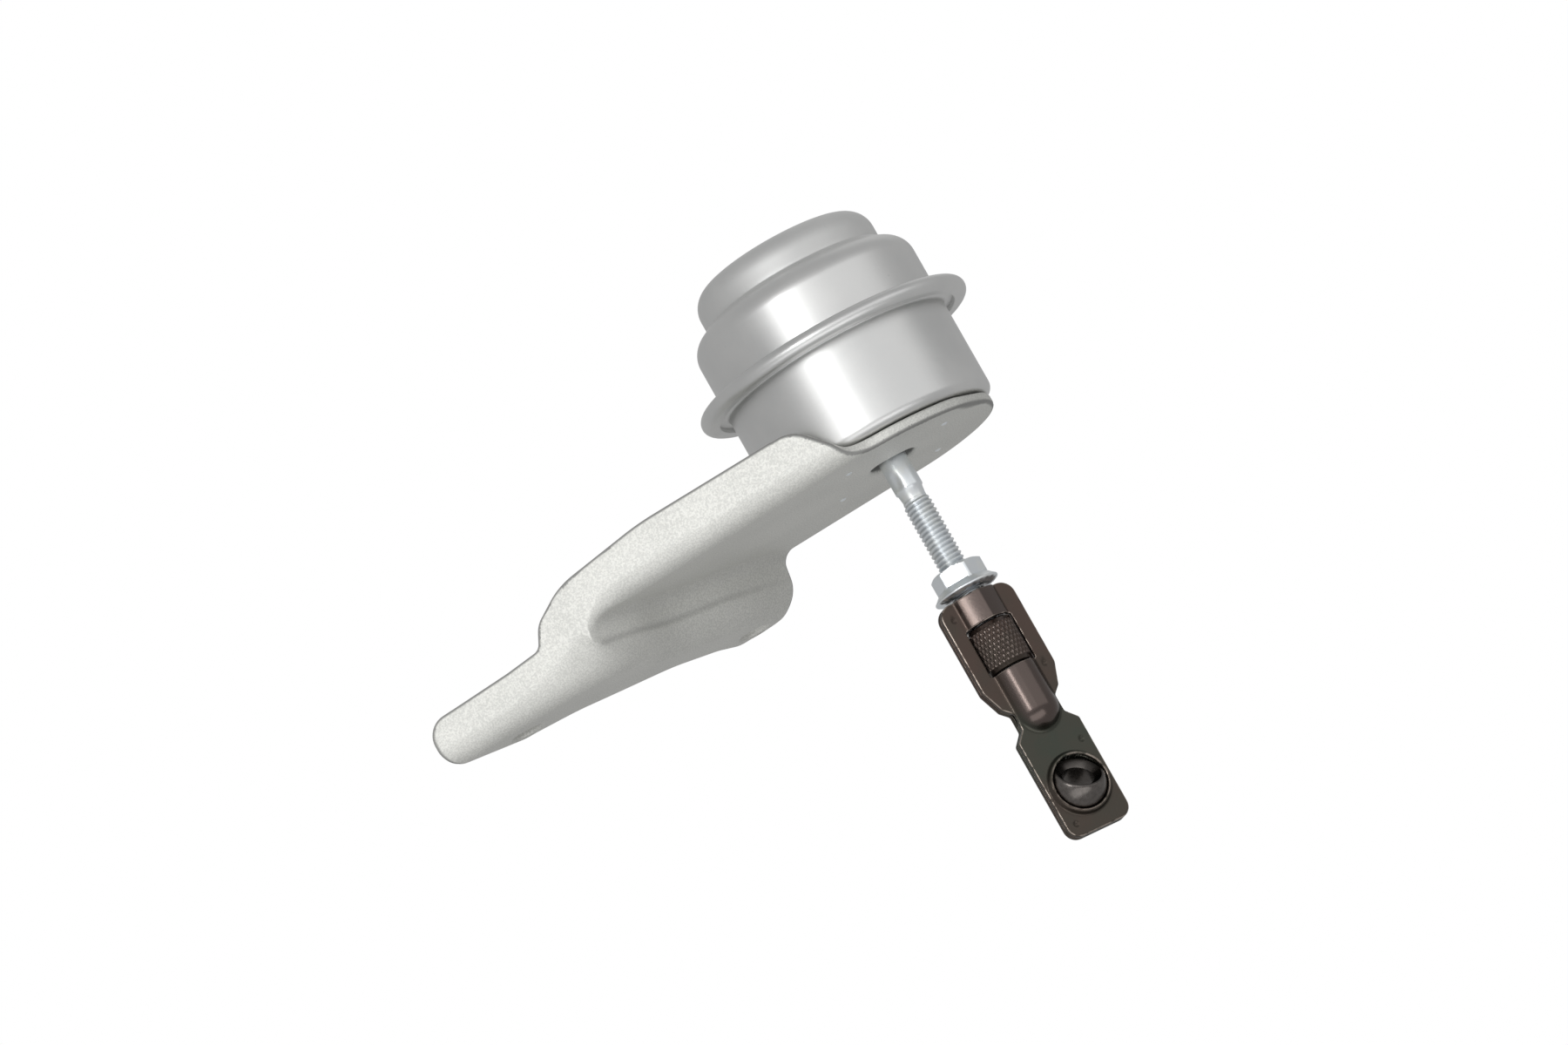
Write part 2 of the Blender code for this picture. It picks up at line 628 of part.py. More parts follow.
def make_piston_cup(maker):
    """Make the piston cup, which the spring pushes up into the diaphragm."""
    corner = (CUP_RADIUS - CUP_ROUND, CUP_TOP - CUP_ROUND)
    profile = [(CLEAR_HOLE, CUP_TOP)]
    profile += arc(corner, CUP_ROUND, 90.0, 0.0, 3)
    profile += [(CUP_RADIUS, CUP_SKIRT), (CUP_RADIUS - CUP_SHEET, CUP_SKIRT)]
    profile += arc(corner, CUP_ROUND - CUP_SHEET, 0.0, 90.0, 2)
    profile += [(CLEAR_HOLE, CUP_TOP - CUP_SHEET)]
    maker.piece("piston_cup", turned("piston_cup", profile), PRESSED_STEEL)


def make_diaphragm(maker):
    """Make the rolling diaphragm: crown, wall, loop and clamped edge."""
    corner = (CUP_RADIUS - CUP_ROUND, CUP_TOP - CUP_ROUND)
    inner = CUP_ROUND + SEAT_GAP
    root = (CAN_RADIUS + FLANGE_FILLET, LOWER_FLANGE - FLANGE_FILLET)
    under = FLANGE_FILLET + CAN_SHEET + FLANGE_GAP
    cup_leg = CUP_RADIUS + SEAT_GAP + RUBBER
    can_leg = root[0] - under - RUBBER
    loop = ((cup_leg + can_leg) / 2.0, DIAPHRAGM_LOOP_Z)
    inside_loop = (can_leg - cup_leg) / 2.0
    top = [(CLEAR_HOLE, CROWN + RUBBER)]
    top += arc(corner, inner + RUBBER, 90.0, 0.0, 3)
    top += arc(loop, inside_loop, 180.0, 360.0, 4)
    top += arc(root, under + RUBBER, 180.0, 90.0, 2)
    top += [(DIAPHRAGM_EDGE_RADIUS, DIAPHRAGM_EDGE + RUBBER)]
    bottom = [(DIAPHRAGM_EDGE_RADIUS, DIAPHRAGM_EDGE)]
    bottom += arc(root, under, 90.0, 180.0, 2)
    bottom += arc(loop, inside_loop + RUBBER, 360.0, 180.0, 5)
    bottom += arc(corner, inner, 0.0, 90.0, 3)
    bottom += [(CLEAR_HOLE, CROWN)]
    maker.piece("diaphragm", turned("diaphragm", top + bottom), BLACK_RUBBER)


def make_retainer(maker):
    """Make the dished retainer above the diaphragm, whose rim stops against the cap."""
    rim = CAP_TOP - CAN_SHEET - SEAT_GAP
    corner = (RETAINER_RADIUS - RETAINER_ROUND, RETAINER_FLOOR + RETAINER_ROUND)
    profile = [(RETAINER_RADIUS, rim)]
    profile += arc(corner, RETAINER_ROUND, 0.0, -90.0, 3)
    profile += [(CLEAR_HOLE, RETAINER_FLOOR), (CLEAR_HOLE, RETAINER_FLOOR + CUP_SHEET)]
    profile += arc(corner, RETAINER_ROUND - CUP_SHEET, -90.0, 0.0, 2)
    profile += [(RETAINER_RADIUS - CUP_SHEET, rim)]
    maker.piece("diaphragm_retainer", turned("diaphragm_retainer", profile, 24), PRESSED_STEEL)


def make_spring(maker):
    """Make the return spring: an open coil between its seat and the piston cup."""
    per_turn = 12
    count = int(SPRING_TURNS * per_turn)
    shape = bpy.data.curves.new("return_spring", "CURVE")
    shape.dimensions = "3D"
    shape.bevel_depth = SPRING_WIRE
    shape.bevel_resolution = 2
    shape.use_fill_caps = True
    spline = shape.splines.new("POLY")
    spline.points.add(count)
    for index, point in enumerate(spline.points):
        angle = 2.0 * math.pi * index / per_turn
        height = SPRING_BASE + (SPRING_TOP - SPRING_BASE) * index / count
        point.co = (SPRING_RADIUS * math.cos(angle), SPRING_RADIUS * math.sin(angle), height, 1.0)
    holder = bpy.data.objects.new("return_spring", shape)
    bpy.context.scene.collection.objects.link(holder)
    maker.piece("return_spring", frozen(holder, "return_spring"), SPRING_STEEL)


def make_spring_seat(maker):
    """Make the pressed ring on the can's floor that centres the spring."""
    top = INNER_FLOOR + CAN_SHEET
    bore = BUSH_FLANGE_RADIUS + SEAT_GAP
    profile = [(SEAT_RADIUS, top), (SEAT_RADIUS, INNER_FLOOR), (bore, INNER_FLOOR)]
    profile += [(bore, INNER_FLOOR + SEAT_HEIGHT), (SEAT_COLLAR, INNER_FLOOR + SEAT_HEIGHT)]
    profile += [(SEAT_COLLAR, top)]
    maker.piece("spring_seat", turned("spring_seat", profile, 24), PRESSED_STEEL)


def make_bush(maker):
    """Make the bush in the can's floor that guides the rod."""
    barrel = ROD_HOLE_RADIUS - SEAT_GAP
    flange = INNER_FLOOR + BUSH_FLANGE_THICK
    profile = [(BUSH_BARREL_RADIUS, INNER_FLOOR + BUSH_HEIGHT), (BUSH_BARREL_RADIUS, flange)]
    profile += [(BUSH_FLANGE_RADIUS, flange), (BUSH_FLANGE_RADIUS, INNER_FLOOR), (barrel, INNER_FLOOR)]
    profile += [(barrel, CAN_FLOOR), (CLEAR_HOLE, CAN_FLOOR), (CLEAR_HOLE, INNER_FLOOR + BUSH_HEIGHT)]
    maker.piece("rod_bush", turned("rod_bush", profile, 24), BLACK_POLYMER)


def make_rod(maker):
    """Make the rod: rivet head, collar, shank, neck and threaded end."""
    profile = [(0.0, RIVET_SEAT + RIVET_THICK), (RIVET_RADIUS * 0.7, RIVET_SEAT + RIVET_THICK)]
    profile += [(RIVET_RADIUS, RIVET_SEAT + RIVET_THICK / 2.0), (RIVET_RADIUS, RIVET_SEAT)]
    profile += [(ROD_RADIUS, RIVET_SEAT), (ROD_RADIUS, COLLAR_SEAT), (ROD_COLLAR_RADIUS, COLLAR_SEAT)]
    profile += [(ROD_COLLAR_RADIUS, COLLAR_SEAT - ROD_COLLAR_THICK)]
    profile += [(ROD_RADIUS, COLLAR_SEAT - ROD_COLLAR_THICK), (ROD_RADIUS, ROD_SHANK_END)]
    profile += [(ROD_NECK_RADIUS, ROD_THREAD_TOP + ROD_NECK_LENGTH), (ROD_NECK_RADIUS, ROD_THREAD_TOP)]
    profile += [(ROD_THREAD_RADIUS, ROD_THREAD_TOP - ROD_THREAD_RUN_IN)]
    profile += [(ROD_THREAD_RADIUS, ROD_END_Z + ROD_CHAMFER)]
    profile += [(ROD_THREAD_RADIUS - ROD_CHAMFER, ROD_END_Z), (0.0, ROD_END_Z)]
    maker.piece("actuator_rod", turned("actuator_rod", profile, 20, closed=False), BRIGHT_ZINC)


def make_lock_nut(maker):
    """Make the flanged hexagon nut that locks the rod end's setting."""
    hexagon_radius = LOCK_NUT_FLATS / math.sqrt(3.0)
    place = Matrix.Rotation(LOCK_NUT_TURN, 4, "Z")
    edge = LOCK_NUT_BASE + LOCK_NUT_FLANGE_EDGE
    hexagon = cylinder("lock_nut", hexagon_radius, edge, LOCK_NUT_TOP, 6)
    nut = maker.piece("lock_nut", hexagon, BRIGHT_ZINC, place)
    wide = hexagon_radius + SPARE
    high = LOCK_NUT_TOP + SPARE
    half = LOCK_NUT_FLATS / 2.0
    crown = [(0.0, high), (half - LOCK_NUT_CHAMFER, high), (half - LOCK_NUT_CROWN_INSET, LOCK_NUT_TOP)]
    drop = (wide - half + LOCK_NUT_CROWN_INSET) * math.tan(LOCK_NUT_CROWN_SLOPE)
    crown += [(wide, LOCK_NUT_TOP - drop), (wide, LOCK_NUT_BASE), (0.0, LOCK_NUT_BASE)]
    envelope = maker.cutter("lock_nut_crown", turned("lock_nut_crown", crown, 24, closed=False))
    boolean(nut, envelope, "INTERSECT")
    flange = [(0.0, edge + LOCK_NUT_FLANGE_RISE), (half, edge + LOCK_NUT_FLANGE_RISE)]
    flange += [(LOCK_NUT_FLANGE_RADIUS, edge), (LOCK_NUT_FLANGE_RADIUS, LOCK_NUT_BASE)]
    flange += [(0.0, LOCK_NUT_BASE)]
    skirt = maker.cutter("lock_nut_flange", turned("lock_nut_flange", flange, 24, closed=False))
    boolean(nut, skirt, "UNION")
    bore = cylinder("lock_nut_bore", NUT_BORE, LOCK_NUT_BASE - SPARE, high, 16)
    boolean(nut, maker.cutter("lock_nut_bore", bore), "DIFFERENCE")


def make_adjuster(maker):
    """Make the knurled nut that sets how far the rod end is screwed on."""
    top = WINDOW_TOP - SEAT_GAP
    end = WINDOW_END + SEAT_GAP
    knurl_top = top - ADJUSTER_CHAMFER
    knurl_end = end + ADJUSTER_CHAMFER
    rim = ADJUSTER_RADIUS - ADJUSTER_KNURL_DEPTH
    profile = [(NUT_BORE, top), (rim - ADJUSTER_CHAMFER / 2.0, top)]
    for row in range(KNURL_ROWS + 1):
        profile.append((rim, knurl_top + (knurl_end - knurl_top) * row / KNURL_ROWS))
    profile += [(rim - ADJUSTER_CHAMFER / 2.0, end), (NUT_BORE, end)]
    mesh = turned("adjuster_nut", profile, KNURL_COLUMNS)
    pitch = (knurl_top - knurl_end) / KNURL_ROWS
    for vertex in mesh.vertices:
        x, y, z = vertex.co
        row = round((knurl_top - z) / pitch)
        column = round(math.atan2(y, x) * KNURL_COLUMNS / (2.0 * math.pi))
        on_rim = math.hypot(x, y) > rim - MERGE
        if on_rim and 0 < row < KNURL_ROWS and (row + column) % 2:
            vertex.co = (x * ADJUSTER_RADIUS / rim, y * ADJUSTER_RADIUS / rim, z)
    maker.piece("adjuster_nut", mesh, DARK_BRONZE)


def rod_end_outline():
    """Return the rod end's plate outline in its own plane, as (width, height) points."""
    half = [
        (UPPER_PAD_WIDTH / 2.0, PLATE_TOP, PAD_ROUND),
        (UPPER_PAD_WIDTH / 2.0, UPPER_PAD_END, PAD_END_ROUND),
        (TAPER_WIDTH / 2.0, TAPER_END, TAPER_ROUND),
        (NECK_WIDTH / 2.0, NECK_TOP, NECK_ROUND),
        (NECK_WIDTH / 2.0, NECK_END, NECK_ROUND),
        (LOWER_PAD_WIDTH / 2.0, LOWER_PAD_TOP, NECK_ROUND),
        (LOWER_PAD_WIDTH / 2.0, PLATE_END, PLATE_END_ROUND),
    ]
    mirrored = [(-x, z, radius) for x, z, radius in reversed(half)]
    return rounded(half + mirrored, 4)


def channel_shape(radius, end_z, top):
    """Return the profile of a round-ended bar along the rod's axis."""
    profile = [(0.0, top), (radius, top)]
    profile += arc((0.0, end_z), radius, 0.0, -90.0, 4)
    return profile


def make_rod_end(maker, name, turn):
    """Make one pressing of the rod end: plate, rod channel, window and ball socket."""
    frame = Matrix.Rotation(turn, 4, "Z")
    upright = frame @ Matrix.Rotation(math.radians(90.0), 4, "X")
    flat = prism(name, rod_end_outline(), -PLATE_FACE, PLATE_FACE)
    flat.transform(Matrix.Rotation(math.radians(90.0), 4, "X"))
    plate = maker.piece(name, flat, DARK_BRONZE, frame)
    socket = upright @ Matrix.Translation((0.0, SOCKET_Z, 0.0))
    ring = cylinder(name + "_ring", SOCKET_RING, -RING_HEIGHT, RING_HEIGHT)
    boolean(plate, maker.cutter(name + "_ring", ring, socket), "UNION")
    ball_room = [(0.0, SOCKET_RADIUS)] + arc((0.0, 0.0), SOCKET_RADIUS, 80.0, -80.0, 12)
    ball_room += [(0.0, -SOCKET_RADIUS)]
    room = turned(name + "_room", ball_room, 24, closed=False)
    boolean(plate, maker.cutter(name + "_room", room, socket), "DIFFERENCE")
    bar = turned(name + "_bar", channel_shape(CHANNEL_RADIUS, CHANNEL_END, PLATE_TOP), 24, closed=False)
    boolean(plate, maker.cutter(name + "_bar", bar, frame), "UNION")
    low = (-UPPER_PAD_WIDTH, -HALF_GAP, PLATE_END - SPARE)
    behind = box(name + "_behind", low, (UPPER_PAD_WIDTH, UPPER_PAD_WIDTH, PLATE_TOP + SPARE))
    boolean(plate, maker.cutter(name + "_behind", behind, frame), "DIFFERENCE")
    bore_shape = channel_shape(CHANNEL_BORE, CHANNEL_END, PLATE_TOP + SPARE)
    bore = turned(name + "_bore", bore_shape, 24, closed=False)
    boolean(plate, maker.cutter(name + "_bore", bore, frame), "DIFFERENCE")
    half = WINDOW_WIDTH / 2.0
    corner = (half, UPPER_PAD_WIDTH, WINDOW_TOP)
    window = box(name + "_window", (-half, -UPPER_PAD_WIDTH, WINDOW_END), corner)
    boolean(plate, maker.cutter(name + "_window", window, frame), "DIFFERENCE")


def make_ball(maker):
    """Make the bored ball, turned about its own axis in the socket."""
    half = math.sqrt(BALL_RADIUS ** 2 - BALL_MOUTH ** 2)
    lean = math.degrees(math.asin(half / BALL_RADIUS))
    profile = arc((0.0, 0.0), BALL_RADIUS, lean, -lean, 8)
    profile += [(BALL_BORE, BALL_CHAMFER - half), (BALL_BORE, half - BALL_CHAMFER)]
    turn = BALL_AXIS.to_track_quat("Z", "Y").to_matrix().to_4x4()
    place = Matrix.Translation((0.0, 0.0, SOCKET_Z)) @ turn
    maker.piece("swivel_ball", turned("swivel_ball", profile, 24), BALL_STEEL, place)


def main():
    """Build every piece of the actuator."""
    clear_scene()
    maker = Maker()
    make_bracket(maker)
    make_lower_can(maker)
    make_upper_can(maker)
    make_nipple(maker)
    make_piston_cup(maker)
    make_diaphragm(maker)
    make_retainer(maker)
    make_spring(maker)
    make_spring_seat(maker)
    make_bush(maker)
    make_rod(maker)
    make_lock_nut(maker)
    make_adjuster(maker)
    make_rod_end(maker, "rod_end_front", PLATE_TURN + math.radians(90.0))
    make_rod_end(maker, "rod_end_rear", PLATE_TURN - math.radians(90.0))
    make_ball(maker)
    bpy.context.view_layer.update()


main()
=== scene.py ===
"""Looks of the wastegate actuator: pressed bracket, crimped cans, threaded rod and rod end.

Every piece is shaped in the actuator's own axes, in millimetres: the origin is where the
rod's axis crosses the underside of the bracket plate, +Z runs along the rod to the cans and
the bracket's arm runs towards -X. A finished mesh is then moved into the frame of the CAD.
"""

from __future__ import annotations

import logging
import math
from bisect import bisect_left
from collections.abc import Callable, Sequence
from dataclasses import dataclass, field
from enum import Enum

import bmesh
import bpy
from mathutils import Matrix, Vector
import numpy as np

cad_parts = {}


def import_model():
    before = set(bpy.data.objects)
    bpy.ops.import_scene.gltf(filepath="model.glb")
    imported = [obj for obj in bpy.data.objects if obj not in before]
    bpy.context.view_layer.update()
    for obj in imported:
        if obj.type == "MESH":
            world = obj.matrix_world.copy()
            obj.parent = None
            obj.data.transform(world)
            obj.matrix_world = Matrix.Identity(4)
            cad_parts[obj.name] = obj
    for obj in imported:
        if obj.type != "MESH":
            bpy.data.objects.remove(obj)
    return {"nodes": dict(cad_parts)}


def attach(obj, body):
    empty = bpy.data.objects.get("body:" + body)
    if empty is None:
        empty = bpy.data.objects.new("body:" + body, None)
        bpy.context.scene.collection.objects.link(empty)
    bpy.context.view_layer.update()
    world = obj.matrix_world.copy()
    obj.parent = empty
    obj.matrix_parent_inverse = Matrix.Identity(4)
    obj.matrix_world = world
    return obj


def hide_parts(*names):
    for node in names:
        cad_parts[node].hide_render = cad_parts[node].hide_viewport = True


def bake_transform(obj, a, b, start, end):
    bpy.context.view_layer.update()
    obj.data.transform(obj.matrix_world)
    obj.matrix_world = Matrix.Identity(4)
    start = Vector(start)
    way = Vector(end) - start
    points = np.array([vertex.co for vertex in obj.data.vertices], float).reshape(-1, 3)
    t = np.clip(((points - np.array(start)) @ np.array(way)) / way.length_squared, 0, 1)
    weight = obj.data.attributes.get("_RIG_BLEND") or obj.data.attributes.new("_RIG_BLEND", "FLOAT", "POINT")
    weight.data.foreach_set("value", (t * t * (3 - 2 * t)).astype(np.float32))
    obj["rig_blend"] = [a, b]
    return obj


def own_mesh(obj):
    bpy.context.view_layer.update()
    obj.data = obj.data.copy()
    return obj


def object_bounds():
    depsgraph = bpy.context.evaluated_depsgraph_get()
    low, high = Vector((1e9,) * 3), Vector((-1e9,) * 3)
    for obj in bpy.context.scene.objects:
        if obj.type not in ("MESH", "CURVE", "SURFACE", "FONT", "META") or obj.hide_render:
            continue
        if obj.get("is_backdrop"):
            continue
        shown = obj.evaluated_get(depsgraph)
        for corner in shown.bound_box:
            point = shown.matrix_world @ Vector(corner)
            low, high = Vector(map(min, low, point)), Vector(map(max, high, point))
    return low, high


LOG = logging.getLogger("wastegate_actuator")
MM = 0.001
HOME = Vector((62.0, 8.0, 11.0))

# In millimetres: vertices nearer than MERGE become one, outline edges under SHORTEST stay
# whole, and slopes are taken over PROBE.
MERGE = 1e-4
SHORTEST = 0.004
PROBE = 0.02
# The share of an edge's rounding, in depth, that counts as its rim.
INNER_RIM = 0.999

Point2 = tuple[float, float]
Corner = tuple[float, float, float]
Colour = tuple[float, float, float]


class Body(Enum):
    """The bodies that pieces ride on."""

    HOUSING = "housing"
    ROD = "rod"
    LOCK_NUT = "lock_nut"
    ROD_END = "rod_end"
    ADJUSTER = "adjuster"
    BALL = "ball"


class Slot(Enum):
    """The material slots that pieces take their finish from."""

    PAINT = "bracket_paint"
    CAN = "can_steel"
    PRESSED = "pressed_steel"
    RUBBER = "diaphragm_rubber"
    SPRING = "spring_steel"
    POLYMER = "bush_polymer"
    ZINC = "bright_zinc"
    BRONZE = "rod_end_bronze"
    BALL = "ball_steel"


# Shader graphs


class Value:
    """A number socket that takes part in Python expressions."""

    def __init__(self, graph: Graph, socket: bpy.types.NodeSocket) -> None:
        """Wrap one output socket of a graph."""
        self.graph = graph
        self.socket = socket

    def __add__(self, other: Value | float) -> Value:
        """Return self + other."""
        return self.graph.math("ADD", self, other)

    __radd__ = __add__

    def __sub__(self, other: Value | float) -> Value:
        """Return self - other."""
        return self.graph.math("SUBTRACT", self, other)

    def __rsub__(self, other: float) -> Value:
        """Return other - self."""
        return self.graph.math("SUBTRACT", other, self)

    def __mul__(self, other: Value | float) -> Value:
        """Return self * other."""
        return self.graph.math("MULTIPLY", self, other)

    __rmul__ = __mul__

    def rise(self, low: float, high: float) -> Value:
        """Take a smooth step of this number.

        Args:
            low: The number where the step is 0.
            high: The number where it is 1.

        Returns:
            The step.
        """
        inputs = {"Value": self, "From Min": low, "From Max": high}
        settings = {"interpolation_type": "SMOOTHSTEP"}
        return self.graph.value("ShaderNodeMapRange", "Result", inputs, settings)


class Graph:
    """Builds the node tree of a material or a world."""

    def __init__(self, owner: bpy.types.Material | bpy.types.World) -> None:
        """Start with an empty node tree.

        Args:
            owner: What the tree belongs to.
        """
        owner.use_nodes = True
        self.owner = owner
        self.tree = owner.node_tree
        self.tree.nodes.clear()

    def node(
        self, kind: str, inputs: dict | None = None, settings: dict | None = None
    ) -> bpy.types.Node:
        """Add one node.

        Args:
            kind: The node's type.
            inputs: Values or links by socket name or number.
            settings: Its properties, which are set first.

        Returns:
            The node.
        """
        made = self.tree.nodes.new(kind)
        for key, setting in (settings or {}).items():
            setattr(made, key, setting)
        for key, value in (inputs or {}).items():
            if isinstance(value, Value):
                self.tree.links.new(value.socket, made.inputs[key])
            else:
                made.inputs[key].default_value = value
        return made

    def value(
        self, kind: str, output: str | int, inputs: dict | None = None, settings: dict | None = None
    ) -> Value:
        """Add one node and return one of its outputs."""
        return Value(self, self.node(kind, inputs, settings).outputs[output])

    def math(self, operation: str, first: Value | float, second: Value | float) -> Value:
        """Return a Math node's result on two numbers."""
        return self.value("ShaderNodeMath", 0, {0: first, 1: second}, {"operation": operation})

    def place(self) -> Value:
        """Return the Object coordinates."""
        return self.value("ShaderNodeTexCoord", "Object")

    def stretched(self, scale: Colour) -> Value:
        """Return the Object coordinates, scaled by axis."""
        inputs = {"Vector": self.place(), "Scale": scale}
        return self.value("ShaderNodeMapping", "Vector", inputs)

    def height(self) -> Value:
        """Return the Z of the Object coordinates, in metres."""
        return self.value("ShaderNodeSeparateXYZ", "Z", {"Vector": self.place()})

    def noise(self, scale: float, detail: float = 2.0, vector: Value | None = None) -> Value:
        """Return noise from 0 to 1; scale is in features per metre."""
        inputs = {"Vector": vector or self.place(), "Scale": scale, "Detail": detail}
        return self.value("ShaderNodeTexNoise", "Fac", inputs)

    def attribute(self, name: str) -> Value:
        """Return a number that is stored on the piece's vertices."""
        return self.value("ShaderNodeAttribute", "Fac", None, {"attribute_name": name})

    def mix(self, share: Value | float, first: Value | Colour, second: Value | Colour) -> Value:
        """Blend two colours.

        Args:
            share: How much of the second colour shows.
            first: The colour at 0.
            second: The colour at 1.

        Returns:
            The blend.
        """
        ends = [c if isinstance(c, Value) else (*c, 1.0) for c in (first, second)]
        inputs = {0: share, 6: ends[0], 7: ends[1]}
        return self.value("ShaderNodeMix", 2, inputs, {"data_type": "RGBA"})

    def bump(self, height: Value, distance: float) -> Value:
        """Return a normal from a height map; distance is in metres."""
        inputs = {"Height": height, "Distance": distance, "Strength": 1.0}
        return self.value("ShaderNodeBump", "Normal", inputs)

    def surface(self, **sockets: Value | float | Colour) -> bpy.types.Material:
        """Close the tree with a Principled shader.

        Args:
            **sockets: The shader's sockets, with underscores for spaces.

        Returns:
            The finished material.
        """
        inputs = {name.replace("_", " "): value for name, value in sockets.items()}
        shown = self.value("ShaderNodeBsdfPrincipled", "BSDF", inputs)
        self.node("ShaderNodeOutputMaterial", {"Surface": shown})
        return self.owner


@dataclass(frozen=True)
class MetallicPaint:
    """Aluminium-coloured paint with a fine grain and a faint orange peel, darkened towards a grey by painted
    shade on its rounded rim and in its marked crease, inside corner and rod hole wall.
    """

    light: Colour = (0.800, 0.800, 0.762)
    dark: Colour = (0.610, 0.612, 0.583)
    shade_grey: Colour = (0.24, 0.24, 0.235)
    grain: float = 3000.0
    peel: float = 900.0
    clouds: float = 55.0
    clouding: float = 0.26
    rim_shade_share: float = 0.85
    painted_shade_share: float = 0.34
    metallic: float = 0.30
    roughness: float = 0.60
    relief: float = 0.000026

    def build(self, name: str) -> bpy.types.Material:
        """Build the paint.

        Args:
            name: The material's name.

        Returns:
            The material.
        """
        graph = Graph(bpy.data.materials.new(name))
        grain = graph.noise(self.grain, 3.0)
        clouds = graph.noise(self.clouds, 3.0)
        peel = graph.noise(self.peel, 2.0)
        tone = grain.rise(0.36, 0.66) * (1.0 - self.clouding)
        tone = tone + clouds.rise(0.3, 0.7) * self.clouding
        coated = graph.mix(tone, self.dark, self.light)
        # Painted shade: the rim mark and the crease, corner and hole mark darken the paint towards a grey.
        shaded = graph.attribute("rim") * self.rim_shade_share + graph.attribute("painted_shade") * self.painted_shade_share
        return graph.surface(
            Base_Color=graph.mix(shaded, coated, self.shade_grey),
            Metallic=self.metallic,
            Roughness=self.roughness - grain * 0.18,
            Normal=graph.bump(grain * 0.8 + peel * 0.6, self.relief),
        )


@dataclass(frozen=True)
class SatinSteel:
    """Drawn steel: a soft sheen with faint rings, smudges and small pits.

    Above the height cap_low the sheen is duller.
    """

    light: Colour = (0.80, 0.80, 0.79)
    dark: Colour = (0.70, 0.705, 0.70)
    roughness: float = 0.39
    relief: float = 0.000016
    rings: float = 1.0
    cap_low: float = 0.0510
    cap_high: float = 0.0535
    cap_dulling: float = 0.20

    def build(self, name: str) -> bpy.types.Material:
        """Build the drawn steel.

        Args:
            name: The material's name.

        Returns:
            The material.
        """
        graph = Graph(bpy.data.materials.new(name))
        rings = graph.noise(900.0, 2.0, graph.stretched((0.02, 0.02, 1.0)))
        drawn = graph.noise(1500.0, 2.0, graph.stretched((1.0, 1.0, 0.035)))
        smudge = graph.noise(75.0, 4.0)
        grain = graph.noise(5200.0, 2.0)
        pits = graph.noise(620.0, 2.0).rise(0.735, 0.79)
        tone = smudge.rise(0.25, 0.75) * 0.7 + grain * 0.3
        rough = smudge * 0.10 + grain * 0.05 + (self.roughness - 0.07) + pits * 0.1
        rough = rough + graph.height().rise(self.cap_low, self.cap_high) * self.cap_dulling
        relief = rings * self.rings + drawn * 0.55 + grain * 0.25 - pits * 0.5
        return graph.surface(
            Base_Color=graph.mix(tone * (1.0 - pits * 0.6), self.dark, self.light),
            Metallic=1.0,
            Roughness=rough,
            Normal=graph.bump(relief, self.relief),
        )


@dataclass(frozen=True)
class BrightZinc:
    """Bright zinc plating with a blue cast and warm patches, with painted shade darkening the thread
    valleys.
    """

    cool: Colour = (0.885, 0.925, 0.955)
    warm: Colour = (0.93, 0.94, 0.91)
    valley_shade: Colour = (0.20, 0.21, 0.22)
    valley_shade_share: float = 0.55
    warmth: float = 0.7
    roughness: float = 0.24
    relief: float = 0.000003

    def build(self, name: str) -> bpy.types.Material:
        """Build the plating.

        Args:
            name: The material's name.

        Returns:
            The material.
        """
        graph = Graph(bpy.data.materials.new(name))
        patches = graph.noise(260.0, 3.0)
        grain = graph.noise(4200.0, 2.0)
        plated = graph.mix(patches.rise(0.42, 0.75) * self.warmth, self.cool, self.warm)
        # Painted shade: the thread valleys are darkened towards a dark grey.
        shaded = graph.attribute("valley_shade") * self.valley_shade_share
        return graph.surface(
            Base_Color=graph.mix(shaded, plated, self.valley_shade),
            Metallic=1.0,
            Roughness=self.roughness + patches * 0.12 + grain * 0.05,
            Normal=graph.bump(grain, self.relief),
        )


@dataclass(frozen=True)
class BronzeOxide:
    """Dark brown oxide on steel that turns greenish lower down and bright on its edges."""

    brown: Colour = (0.088, 0.064, 0.054)
    green: Colour = (0.062, 0.070, 0.057)
    drawn: Colour = (0.122, 0.097, 0.088)
    bright: Colour = (0.62, 0.53, 0.46)
    green_band: tuple[float, float, float, float] = (-0.040, -0.050, -0.056, -0.066)
    green_fall: float = 0.65
    wear_share: float = 0.6
    metallic: float = 0.90
    roughness: float = 0.22
    drawn_gloss: float = 0.09
    relief: float = 0.000010

    def build(self, name: str) -> bpy.types.Material:
        """Build the oxide.

        Args:
            name: The material's name.

        Returns:
            The material.
        """
        graph = Graph(bpy.data.materials.new(name))
        cast = graph.noise(120.0, 3.0)
        grain = graph.noise(3600.0, 3.0)
        first, full, last, gone = self.green_band
        fall = graph.height().rise(last, gone) * self.green_fall
        band = graph.height().rise(first, full) * (1.0 - fall)
        share = band * 0.72 + cast.rise(0.42, 0.7) * 0.30
        film = graph.mix(share, self.brown, self.green)
        formed = graph.attribute("drawn")
        film = graph.mix(formed, film, self.drawn)
        rubbed = graph.attribute("edge_wear") * graph.noise(600.0, 3.0).rise(0.34, 0.56)
        rough = cast * 0.10 + grain * 0.05 - formed * self.drawn_gloss
        return graph.surface(
            Base_Color=graph.mix(rubbed * self.wear_share, film, self.bright),
            Metallic=self.metallic,
            Roughness=self.roughness + rough,
            Normal=graph.bump(grain, self.relief),
        )


